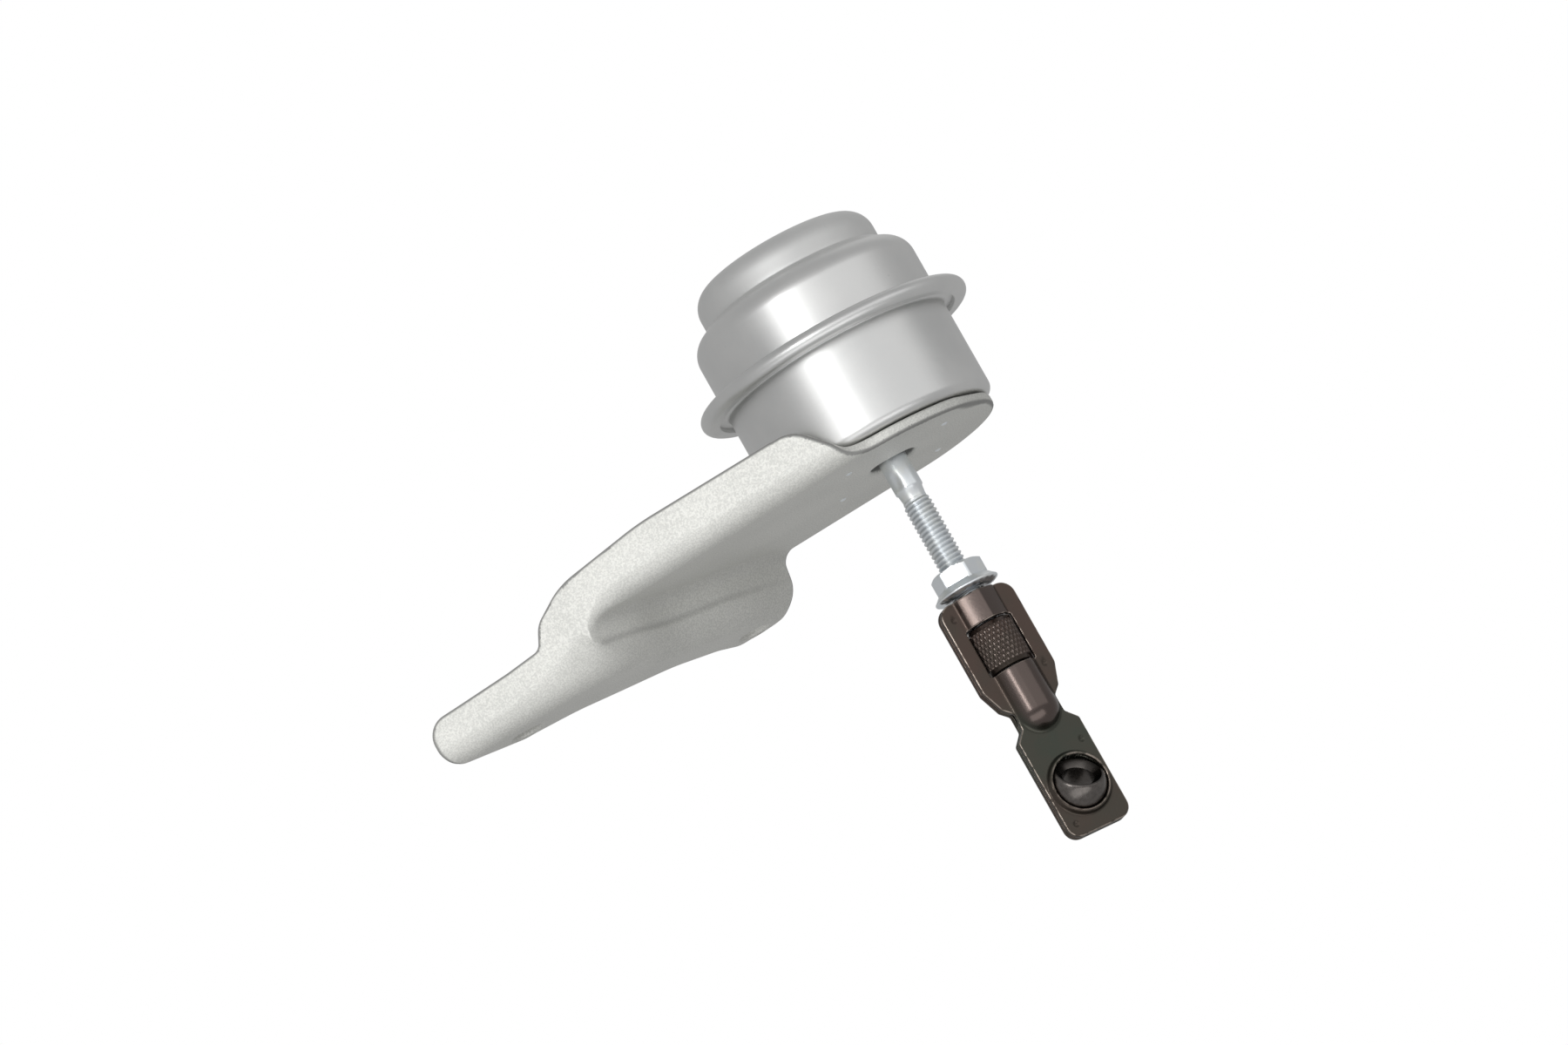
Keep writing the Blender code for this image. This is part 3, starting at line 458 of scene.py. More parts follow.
@dataclass(frozen=True)
class PlainFinish:
    """A single finish with fine variation, darker where a piece is marked as deep."""

    colour: Colour
    roughness: float
    metallic: float
    grain: float = 2500.0
    darker: float = 0.78
    deep: float = 0.27
    relief: float = 0.000012

    def build(self, name: str) -> bpy.types.Material:
        """Build the finish.

        Args:
            name: The material's name.

        Returns:
            The material.
        """
        graph = Graph(bpy.data.materials.new(name))
        grain = graph.noise(self.grain, 3.0)
        darker = tuple(self.darker * part for part in self.colour)
        deep = tuple(self.deep * part for part in self.colour)
        toned = graph.mix(grain.rise(0.3, 0.7), darker, self.colour)
        return graph.surface(
            Base_Color=graph.mix(graph.attribute("deep"), toned, deep),
            Metallic=self.metallic,
            Roughness=self.roughness - 0.05 + grain * 0.1,
            Normal=graph.bump(grain, self.relief),
        )


FINISHES = {
    Slot.PAINT: MetallicPaint(),
    Slot.CAN: SatinSteel(),
    Slot.PRESSED: SatinSteel(roughness=0.38, rings=0.5),
    Slot.RUBBER: PlainFinish((0.022, 0.022, 0.023), 0.68, 0.0),
    Slot.SPRING: PlainFinish((0.34, 0.35, 0.37), 0.34, 1.0),
    Slot.POLYMER: PlainFinish((0.030, 0.030, 0.034), 0.50, 0.0),
    Slot.ZINC: BrightZinc(),
    Slot.BRONZE: BronzeOxide(),
    Slot.BALL: PlainFinish((0.175, 0.160, 0.150), 0.26, 1.0, 1400.0),
}


# Shaping


def arc(centre: Point2, radius: float, start: float, end: float, count: int = 8) -> list[Point2]:
    """Return count + 1 points on an arc, by its angles in degrees."""
    angles = [math.radians(start + (end - start) * index / count) for index in range(count + 1)]
    return [(centre[0] + radius * math.cos(a), centre[1] + radius * math.sin(a)) for a in angles]


def rounded(corners: Sequence[Corner], closed: bool = True, count: int = 8) -> list[Point2]:
    """Round the corners of an outline.

    Args:
        corners: The corners as (x, y, radius).
        closed: Whether the last corner joins the first.
        count: Facets in each rounding.

    Returns:
        The outline's points.
    """
    points: list[Point2] = []
    total = len(corners)
    for index, (x, y, radius) in enumerate(corners):
        at_end = not closed and index in (0, total - 1)
        if radius == 0.0 or at_end:
            points.append((x, y))
            continue
        here = Vector((x, y))
        before = (Vector(corners[index - 1][:2]) - here).normalized()
        after = (Vector(corners[(index + 1) % total][:2]) - here).normalized()
        half = before.angle(after) / 2.0
        centre = here + (before + after).normalized() * (radius / math.sin(half))
        first = here + before * (radius / math.tan(half)) - centre
        turn = first.angle_signed(here + after * (radius / math.tan(half)) - centre)
        for step in range(count + 1):
            spoke = first.copy()
            spoke.rotate(Matrix.Rotation(-turn * step / count, 2))
            points.append((centre.x + spoke.x, centre.y + spoke.y))
    return points


def mapped(
    points: Sequence[Point2], change: Callable[[float, float], Point2], step: float
) -> list[Point2]:
    """Carry an open outline through a mapping, with points added where it stretches.

    Args:
        points: The outline before the mapping.
        change: The mapping.
        step: The longest edge allowed after it.

    Returns:
        The points after the mapping.
    """
    result = [change(*points[0])]
    for first, last in zip(points, points[1:]):
        pending = [(first, last)]
        while pending:
            start, end = pending.pop()
            here, there = change(*start), change(*end)
            if math.dist(here, there) > step and math.dist(start, end) > SHORTEST:
                middle = ((start[0] + end[0]) / 2.0, (start[1] + end[1]) / 2.0)
                pending += [(middle, end), (start, middle)]
            else:
                result.append(there)
    return result


def read_off(places: Sequence[float], results: Sequence[float], place: float) -> float:
    """Read a table between its entries, or beyond them on the end's line.

    Args:
        places: The entries' places, rising.
        results: The result at each place.
        place: The place to read.

    Returns:
        The result there.
    """
    index = min(max(bisect_left(places, place) - 1, 0), len(places) - 2)
    share = (place - places[index]) / (places[index + 1] - places[index])
    return results[index] + (results[index + 1] - results[index]) * share


def eased(share: float) -> float:
    """Return a smooth step of a share that is kept between 0 and 1."""
    kept = min(1.0, max(0.0, share))
    return kept * kept * (3.0 - 2.0 * kept)


def bell(place: float, middle: float, width: float) -> float:
    """Return a bell curve that is 1 at its middle."""
    return math.exp(-(((place - middle) / width) ** 2))


def lines(*spans: tuple[float, float, float]) -> list[float]:
    """Lay out dividing lines.

    Args:
        *spans: Each span's start, end and wanted spacing.

    Returns:
        The place of every line, with each span's end left to the next.
    """
    result: list[float] = []
    for start, end, spacing in spans:
        count = max(1, round((end - start) / spacing))
        result += [start + (end - start) * index / count for index in range(count)]
    return result


def at_radius(co: Vector, radius: float) -> Vector:
    """Return a place moved straight out from the Z axis, or in, to a radius."""
    distance = math.hypot(co.x, co.y)
    return Vector((co.x * radius / distance, co.y * radius / distance, co.z))


def direction(azimuth: float, elevation: float) -> Vector:
    """Turn two angles into a direction.

    Args:
        azimuth: The angle from +X towards +Y, in degrees.
        elevation: The angle above the floor, in degrees.

    Returns:
        The direction, one unit long.
    """
    turn, lift = math.radians(azimuth), math.radians(elevation)
    level = math.cos(lift)
    return Vector((math.cos(turn) * level, math.sin(turn) * level, math.sin(lift)))


def linked(name: str, build: bmesh.types.BMesh) -> bpy.types.Object:
    """Turn a bmesh into an object of the scene, and free the bmesh.

    Args:
        name: The name of the object and its mesh.
        build: The shape.

    Returns:
        The object.
    """
    data = bpy.data.meshes.new(name)
    build.to_mesh(data)
    build.free()
    made = bpy.data.objects.new(name, data)
    bpy.context.scene.collection.objects.link(made)
    return made


class Form:
    """A mesh being shaped, in the actuator's axes, in millimetres."""

    def __init__(self) -> None:
        """Start with nothing."""
        self.mesh = bmesh.new()

    def turned(self, profile: Sequence[Point2], steps: int, closed: bool = True) -> Form:
        """Spin a (radius, height) profile once round Z.

        Args:
            profile: The section's points.
            steps: Facets in a full turn.
            closed: Whether the section's last point joins its first.

        Returns:
            This form.
        """
        verts = [self.mesh.verts.new((radius, 0.0, height)) for radius, height in profile]
        edges = [self.mesh.edges.new(pair) for pair in zip(verts, verts[1:])]
        if closed:
            edges.append(self.mesh.edges.new((verts[-1], verts[0])))
        bmesh.ops.spin(
            self.mesh, geom=verts + edges, cent=(0.0, 0.0, 0.0), axis=(0.0, 0.0, 1.0),
            dvec=(0.0, 0.0, 0.0), angle=math.tau, steps=steps, use_merge=True,
        )
        bmesh.ops.remove_doubles(self.mesh, verts=self.mesh.verts, dist=MERGE)
        bmesh.ops.recalc_face_normals(self.mesh, faces=self.mesh.faces)
        return self

    def worked(self, change: Callable[[Vector], Vector]) -> Form:
        """Move every vertex.

        Args:
            change: Gives a vertex its new place from its old one.

        Returns:
            This form.
        """
        for vertex in self.mesh.verts:
            vertex.co = change(vertex.co)
        return self

    def marked(self, name: str, weight: Callable[[Vector], float]) -> Form:
        """Store a weight on every vertex, where it is larger than the one that is there.

        Args:
            name: The weight's name, which a finish reads.
            weight: Gives the weight by place.

        Returns:
            This form.
        """
        layers = self.mesh.verts.layers.float
        layer = layers.get(name) or layers.new(name)
        for vertex in self.mesh.verts:
            vertex[layer] = max(vertex[layer], weight(vertex.co))
        return self

    def moved(self, matrix: Matrix) -> Form:
        """Transform the whole form, and return it."""
        bmesh.ops.transform(self.mesh, matrix=matrix, verts=self.mesh.verts)
        return self

    def object(self, name: str, smooth: float = 38.0) -> bpy.types.Object:
        """Make the finished object in the frame of the CAD.

        Args:
            name: The piece's name.
            smooth: The angle, in degrees, above which an edge stays sharp.

        Returns:
            The object, at the origin, with its place in its mesh.
        """
        placing = Matrix.Scale(MM, 4) @ Matrix.Translation(HOME)
        bmesh.ops.transform(self.mesh, matrix=placing, verts=self.mesh.verts)
        bmesh.ops.recalc_face_normals(self.mesh, faces=self.mesh.faces)
        made = linked(name, self.mesh)
        made.data.shade_smooth()
        made.data.set_sharp_from_angle(angle=math.radians(smooth))
        weighted = made.modifiers.new("weighted_normal", "WEIGHTED_NORMAL")
        weighted.keep_sharp = True
        return made


@dataclass
class Blank:
    """A flat piece of sheet with rounded edges, before it is pressed.

    Its X and Y lie in the sheet, and Z is the depth from the outer face.
    """

    outline: list[Point2]
    thickness: float
    edge_round: float
    holes: list[list[Point2]] = field(default_factory=list)

    def slab(self, outline: Sequence[Point2], low: float, high: float) -> bmesh.types.BMesh:
        """Extrude an outline.

        Args:
            outline: Its points.
            low: Where the slab starts.
            high: Where it ends.

        Returns:
            The slab.
        """
        build = bmesh.new()
        face = build.faces.new([build.verts.new((x, y, low)) for x, y in outline])
        grown = bmesh.ops.extrude_face_region(build, geom=[face])
        raised = [part for part in grown["geom"] if isinstance(part, bmesh.types.BMVert)]
        bmesh.ops.translate(build, verts=raised, vec=(0.0, 0.0, high - low))
        bmesh.ops.recalc_face_normals(build, faces=build.faces)
        return build

    def punched(self) -> bmesh.types.BMesh:
        """Cut the holes out of the slab.

        Returns:
            The punched slab.
        """
        blank = linked("blank", self.slab(self.outline, 0.0, self.thickness))
        punches = []
        for hole in self.holes:
            punch = linked("punch", self.slab(hole, -self.thickness, 2.0 * self.thickness))
            cut = blank.modifiers.new("punch", "BOOLEAN")
            cut.operation = "DIFFERENCE"
            cut.solver = "EXACT"
            cut.object = punch
            punches.append(punch)
        bpy.context.view_layer.update()
        seen = blank.evaluated_get(bpy.context.evaluated_depsgraph_get())
        build = bmesh.new()
        build.from_mesh(seen.to_mesh())
        for used in (blank, *punches):
            bpy.data.objects.remove(used, do_unlink=True)
        bmesh.ops.remove_doubles(build, verts=build.verts, dist=MERGE)
        return build

    def ready(self, columns: Sequence[float], rows: Sequence[float]) -> Form:
        """Round the edges and divide the sheet for pressing.

        Args:
            columns: The X of each dividing line.
            rows: The Y of each dividing line.

        Returns:
            The form, with its rounded rim marked as edge_wear.
        """
        form = Form()
        form.mesh = self.punched()
        build = form.mesh
        rim = [edge for edge in build.edges if edge.calc_face_angle(0.0) > math.radians(60.0)]
        flat = [edge for edge in rim if abs(edge.verts[0].co.z - edge.verts[1].co.z) < MERGE]
        bmesh.ops.bevel(
            build, geom=flat, offset=self.edge_round, offset_type="OFFSET", segments=3,
            profile=0.5, affect="EDGES", clamp_overlap=False, material=-1,
        )
        inner = self.edge_round * INNER_RIM
        form.marked("edge_wear", lambda co: 1.0 if MERGE < co.z < inner else 0.0)
        for normal, places in (((1.0, 0.0, 0.0), columns), ((0.0, 1.0, 0.0), rows)):
            for place in places:
                bmesh.ops.bisect_plane(
                    build, geom=[*build.verts, *build.edges, *build.faces], dist=0.001,
                    plane_co=tuple(place * part for part in normal), plane_no=normal,
                )
        return form


class Fitter:
    """Dresses finished pieces and hangs them on their bodies."""

    def __init__(self) -> None:
        """Build each finish once."""
        self.finishes = {slot: finish.build(slot.value) for slot, finish in FINISHES.items()}

    def fit(self, piece: bpy.types.Object, body: Body, slot: Slot, *nodes: str) -> bpy.types.Object:
        """Give a piece its finish, its body and the nodes it stands for.

        Args:
            piece: The finished piece.
            body: The body that it rides on.
            slot: Its finish.
            *nodes: The CAD nodes that it replaces.

        Returns:
            The piece.
        """
        piece.data.materials.clear()
        piece.data.materials.append(self.finishes[slot])
        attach(piece, body.value)
        self.name(piece, slot, *nodes)
        return piece

    def name(self, piece: bpy.types.Object, slot: Slot, *nodes: str) -> None:
        """Record a piece's slot and the nodes that it stands for.

        Args:
            piece: The piece.
            slot: Its finish.
            *nodes: The CAD nodes that it replaces.
        """
        if nodes:
            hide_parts(*nodes)
        LOG.info("%s: %d faces, %s", piece.name, len(piece.data.polygons), slot.value)

    def dress(self, node: bpy.types.Object, slot: Slot) -> None:
        """Give a CAD node a better finish.

        Args:
            node: The node.
            slot: Its finish.
        """
        for place in node.material_slots:
            place.material = self.finishes[slot]
        LOG.info("%s: kept, %s", node.name, slot.value)


@dataclass
class Bracket:
    """The pressed bracket: plate, upturned wall, step, foot and spot welds.

    On its flat blank, q is the length along the step's section from the riser's middle and w
    is the unfolded width across the sheet.
    """

    sheet: float = 2.5
    edge_round: float = 0.75
    plate_radius: float = 23.2
    near_y: float = -27.5
    bend: float = 4.5
    drop: float = 11.0
    arm_end: float = -104.2
    arm_wall: float = -1.0
    arm_round: float = 4.5
    arm_foot: Corner = (-104.2, -26.15, 11.0)
    plate_end: float = -74.0
    step_points: tuple[Point2, ...] = ((-59.5, -22.0), (-44.8, 0.6), (-34.7, 23.2))
    top_radius: float = 3.2
    foot_radius: float = 7.0
    slope: float = 82.0
    rod_hole: float = 4.9
    bolt_hole: float = 3.2
    bolts: tuple[Point2, ...] = ((-88.8, -16.1), (-46.6, 21.2))
    foot_edge: tuple[Corner, ...] = (
        (-91.4, -12.4, 6.0), (-80.0, -7.9, 18.0), (-62.0, 5.5, 20.0),
        (-54.5, 17.0, 12.0), (-51.7, 25.4, 3.0), (-43.0, 25.6, 6.0), (-38.0, 23.2, 6.0),
    )
    wall_edge: tuple[Corner, ...] = (
        (-14.5, 11.3, 0.0), (-46.0, 11.5, 60.0), (-66.2, 9.1, 16.0), (-73.8, 4.6, 6.0),
        (-76.1, 0.2, 2.2), (-84.0, -0.45, 30.0), (-96.5, -0.84, 0.0),
    )
    flare: tuple[Corner, ...] = (
        (2.6, -23.1, 6.0), (-1.6, -26.3, 6.0), (-3.6, -30.2, 6.0), (-9.5, -36.77, 7.5),
    )
    pull: float = 1.7
    pull_start: float = -10.0
    fold: float = 1.4
    fold_end: float = 2.5
    fold_run: float = 7.0
    widening: float = 1.9
    far_share: float = 0.244
    far_start: float = -4.0
    far_run: float = 5.5
    sway: float = 4.0
    sway_y: float = -8.0
    sway_width: float = 9.0
    crease: float = 0.20
    crease_width: float = 0.70
    crease_back: float = 0.3
    crease_start: Point2 = (-27.0, 2.5)
    crease_stop: Point2 = (25.0, 26.0)
    corner_width: float = 1.5
    corner_rise: float = 4.0
    corner_shade: float = 0.35
    hole_shade: float = 1.9
    hole_margin: float = 0.4
    rim_margin: float = 1.5
    weld_ring: float = 15.4
    weld_first: float = -24.0
    weld_stretch: float = 1.35
    weld_dome: tuple[Point2, float] = ((0.0, 0.40), 0.68)
    weld_base: float = 0.30

    def __post_init__(self) -> None:
        """Measure the step's section along its length, from the riser's middle."""
        lean = math.radians(self.slope)
        reach = []
        for radius in (self.top_radius, self.foot_radius):
            height = self.drop / 2.0 - radius * (1.0 - math.cos(lean))
            reach.append(radius * math.sin(lean) + height / math.tan(lean))
        top, foot = reach[0], -reach[1]
        steps, run = 24, 90.0
        low_centre = (foot, self.foot_radius - self.drop)
        low = arc(low_centre, self.foot_radius, -90.0, self.slope - 90.0, steps)
        high = arc((top, -self.top_radius), self.top_radius, 90.0 + self.slope, 90.0, steps)
        path = [(foot - run, -self.drop), *low, *high, (top + run, 0.0)]
        lengths = [0.0]
        for first, second in zip(path, path[1:]):
            lengths.append(lengths[-1] + math.dist(first, second))
        riser = len(low)
        middle = lengths[riser] + math.dist(path[riser], path[riser + 1]) / 2.0
        self.distances, self.heights = zip(*path)
        self.lengths = [length - middle for length in lengths]
        self.foot_start, self.foot_end = self.lengths[1], self.lengths[riser]
        self.top_start, self.top_end = self.lengths[riser + 1], self.lengths[-2]
        self.riser_foot = self.heights[riser]
        self.centres = [self.plan_point(*place) for place in ((0.0, 0.0), *self.bolts)]

    def height_at(self, q: float) -> float:
        """Return the height of the step's section at a length q from its middle."""
        return read_off(self.lengths, self.heights, q)

    def step_line(self, y: float) -> Point2:
        """Find the step in plan: a curve through three points, pulled back and swayed.

        Args:
            y: The place across the bracket.

        Returns:
            The X where the step crosses y, and the X share of its normal there.
        """
        place = slope = 0.0
        for this, (x, y_this) in enumerate(self.step_points):
            y_a = self.step_points[(this + 1) % 3][1]
            y_b = self.step_points[(this + 2) % 3][1]
            share = (y_this - y_a) * (y_this - y_b)
            place += x * (y - y_a) * (y - y_b) / share
            slope += x * (2.0 * y - y_a - y_b) / share
        place -= self.pull * eased((self.pull_start - y) / (self.pull_start - self.near_y))
        bulge = self.sway * bell(y, self.sway_y, self.sway_width)
        slope += bulge * 2.0 * (y - self.sway_y) / self.sway_width ** 2
        return place - bulge, 1.0 / math.sqrt(1.0 + slope ** 2)

    def length_at(self, x: float, y: float) -> float:
        """Return the length q where the section through y reaches x."""
        line, share = self.step_line(y)
        return read_off(self.distances, self.lengths, (x - line) * share)

    def bend_at(self, q: float) -> float:
        """Find the wall's bend radius: full on the plate, tight at the step, wide beyond it.

        Args:
            q: The place along the blank.

        Returns:
            The radius.
        """
        plate = (self.bend - self.fold) * eased((q - self.fold_end) / self.fold_run)
        drop = max(0.0, self.riser_foot - self.height_at(q))
        far = max(0.0, self.far_start - q) / self.far_run
        share = self.far_share + (1.0 - self.far_share) / (1.0 + far ** 2)
        return self.fold + plate + (self.widening * drop * share if q < 0.0 else 0.0)

    def across(self, w: float, bend: float) -> Point2:
        """Fold the unfolded width into plate, bend and wall.

        Args:
            w: The unfolded width.
            bend: The bend's radius.

        Returns:
            The Y, and the lift above the sheet.
        """
        bend_y = self.near_y + bend
        if w >= bend_y:
            return w, 0.0
        angle = (bend_y - w) / bend
        if angle <= math.pi / 2.0:
            return bend_y - bend * math.sin(angle), bend * (1.0 - math.cos(angle))
        return self.near_y, bend + bend_y - w - bend * math.pi / 2.0

    def plan_point(self, x: float, w: float) -> Point2:
        """Unfold a place seen in plan. The bend depends on q and moves y, so it takes rounds.

        Args:
            x: The place along the bracket.
            w: The unfolded width.

        Returns:
            The blank's (q, w).
        """
        y = max(w, self.near_y)
        for _ in range(4):
            q = self.length_at(x, y)
            y = self.across(w, self.bend_at(q))[0]
        return q, w

    def wall_point(self, x: float, z: float) -> Point2:
        """Unfold a point on the upturned wall.

        Args:
            x: The place along the bracket.
            z: The height.

        Returns:
            The blank's (q, w).
        """
        q = self.length_at(x, self.near_y)
        lift = z - self.height_at(q)
        return q, self.near_y + self.bend_at(q) * (2.0 - math.pi / 2.0) - lift

    def face(self, q: float, w: float, even: bool = False) -> Vector:
        """Return the pressed place of a point on the sheet's outer face.

        Args:
            q: The place along the blank.
            w: The place across the blank.
            even: Whether the bend's radius is taken as the same all along.

        Returns:
            The place.
        """
        y, lift = self.across(w, self.bend if even else self.bend_at(q))
        line, share = self.step_line(y)
        distance = read_off(self.lengths, self.distances, q)
        return Vector((line + distance / share, y, self.height_at(q) + lift))

    def groove(self, q: float, w: float) -> float:
        """Shape the crease where the riser turns into the foot.

        Args:
            q: The place along the blank.
            w: The place across it.

        Returns:
            The share of the crease's depth.
        """
        (start, rise), (stop, fall) = self.crease_start, self.crease_stop
        ends = eased((w - start) / rise) * eased((stop - w) / fall)
        return bell(q, self.foot_end - self.crease_back, self.crease_width) * ends

    def rim(self, co: Vector) -> float:
        """Mark the rounded edge of the outline's outer side, away from the holes, where the paint gets
        painted shade.

        Args:
            co: A place in the flat blank.

        Returns:
            1 on the rim and 0 elsewhere.
        """
        if not MERGE < co.z < self.edge_round * INNER_RIM:
            return 0.0
        near = self.rod_hole + self.rim_margin
        return 0.0 if any(math.dist(centre, co.xy) < near for centre in self.centres) else 1.0

    def painted_shade(self, co: Vector) -> float:
        """Mark painted shade in the crease, the inside corner of the step and the rod hole's wall.

        Args:
            co: A place in the flat blank.

        Returns:
            How dark the place is.
        """
        margin = self.hole_margin
        if co.z > margin and math.dist(self.centres[0], co.xy) < self.rod_hole + margin:
            return self.hole_shade
        if co.z > self.sheet / 2.0:
            return 0.0
        corner = (self.top_start + self.top_end) / 2.0
        end = eased((co.y - self.crease_start[0]) / self.corner_rise)
        inside = bell(co.x, corner, self.corner_width) * end
        return self.groove(co.x, co.y) + self.corner_shade * inside

    def pressed(self, point: Vector) -> Vector:
        """Press a point of the blank.

        Args:
            point: The point, as q, w and depth.

        Returns:
            Its place in the finished bracket.
        """
        q, w, depth = point
        slope_q = self.face(q + PROBE, w, True) - self.face(q - PROBE, w, True)
        slope_w = self.face(q, w + PROBE, True) - self.face(q, w - PROBE, True)
        inward = slope_q.cross(slope_w).normalized()
        if depth < self.sheet / 2.0:
            depth += self.crease * self.groove(q, w)
        return self.face(q, w) + inward * depth

    def outline(self) -> list[Point2]:
        """Lay out the blank.

        Returns:
            The outline's points.
        """
        wall = mapped(rounded(self.wall_edge, closed=False, count=14), self.wall_point, 1.0)
        wall_w = self.wall_point(self.arm_end, self.arm_wall)[1]
        corners = [(self.wall_edge[-1][0], wall[-1][1], 0.0)]
        corners += [(self.arm_end, wall_w, self.arm_round), self.arm_foot, *self.foot_edge]
        corners += [(0.0, self.plate_radius, 0.0)]
        plate = arc((0.0, 0.0), self.plate_radius, 90.0, self.plate_end, 64)
        corners += [(x, y, 0.0) for x, y in plate[1:]]
        corners += [*self.flare, (-14.0, self.flare[-1][1], 0.0)]
        plan = mapped(rounded(corners, closed=False, count=10), self.plan_point, 1.0)
        return wall + plan

    def hole(self, x: float, y: float, radius: float) -> list[Point2]:
        """Return a round hole's outline in the blank."""
        return [self.plan_point(*point) for point in arc((x, y), radius, 0.0, 360.0, 48)[:-1]]

    def build(self, fitter: Fitter) -> None:
        """Make the pressing and its spot welds.

        Args:
            fitter: Dresses the pieces and hangs them on their bodies.
        """
        holes = [self.hole(0.0, 0.0, self.rod_hole)]
        holes += [self.hole(x, y, self.bolt_hole) for x, y in self.bolts]
        blank = Blank(self.outline(), self.sheet, self.edge_round, holes)
        foot, low, high, plate = self.foot_start, self.foot_end, self.top_start, self.top_end
        columns = lines(
            (foot - 60.0, foot - 8.0, 2.0), (foot - 8.0, foot, 0.7), (foot, low - 1.4, 0.35),
            (low - 1.4, low + 1.0, 0.2), (low + 1.0, high, 0.5), (high, plate, 0.35),
            (plate, plate + 10.0, 0.7), (plate + 10.0, plate + 90.0, 2.0),
        )
        rows = lines(
            (-46.0, -34.0, 1.5), (-34.0, -20.0, 0.32), (-20.0, -16.0, 0.6), (-16.0, 27.0, 1.5),
        )
        # The paint reads both marks as painted shade: the crease, inside corner and hole wall, and the
        # rounded rim.
        sheet = blank.ready(columns, rows).marked("painted_shade", self.painted_shade).marked("rim", self.rim)
        sheet.worked(self.pressed)
        fitter.fit(sheet.object("bracket_pressing", 50.0), Body.HOUSING, Slot.PAINT, "bracket")
        welds = Form()
        for index in range(4):
            angle = math.radians(self.weld_first + 90.0 * index)
            dome = [*arc(*self.weld_dome, -90.0, -8.0), (0.0, self.weld_base)]
            spot = Form().turned(dome, 24, False)
            spot.moved(Matrix.Scale(self.weld_stretch, 4, (1.0, 0.0, 0.0)))
            centre = (self.weld_ring * math.cos(angle), self.weld_ring * math.sin(angle), 0.0)
            spot.moved(Matrix.Translation(centre))
            part = bpy.data.meshes.new("spot")
            spot.mesh.to_mesh(part)
            spot.mesh.free()
            welds.mesh.from_mesh(part)
            bpy.data.meshes.remove(part)
        fitter.fit(welds.object("plate_welds"), Body.HOUSING, Slot.ZINC)


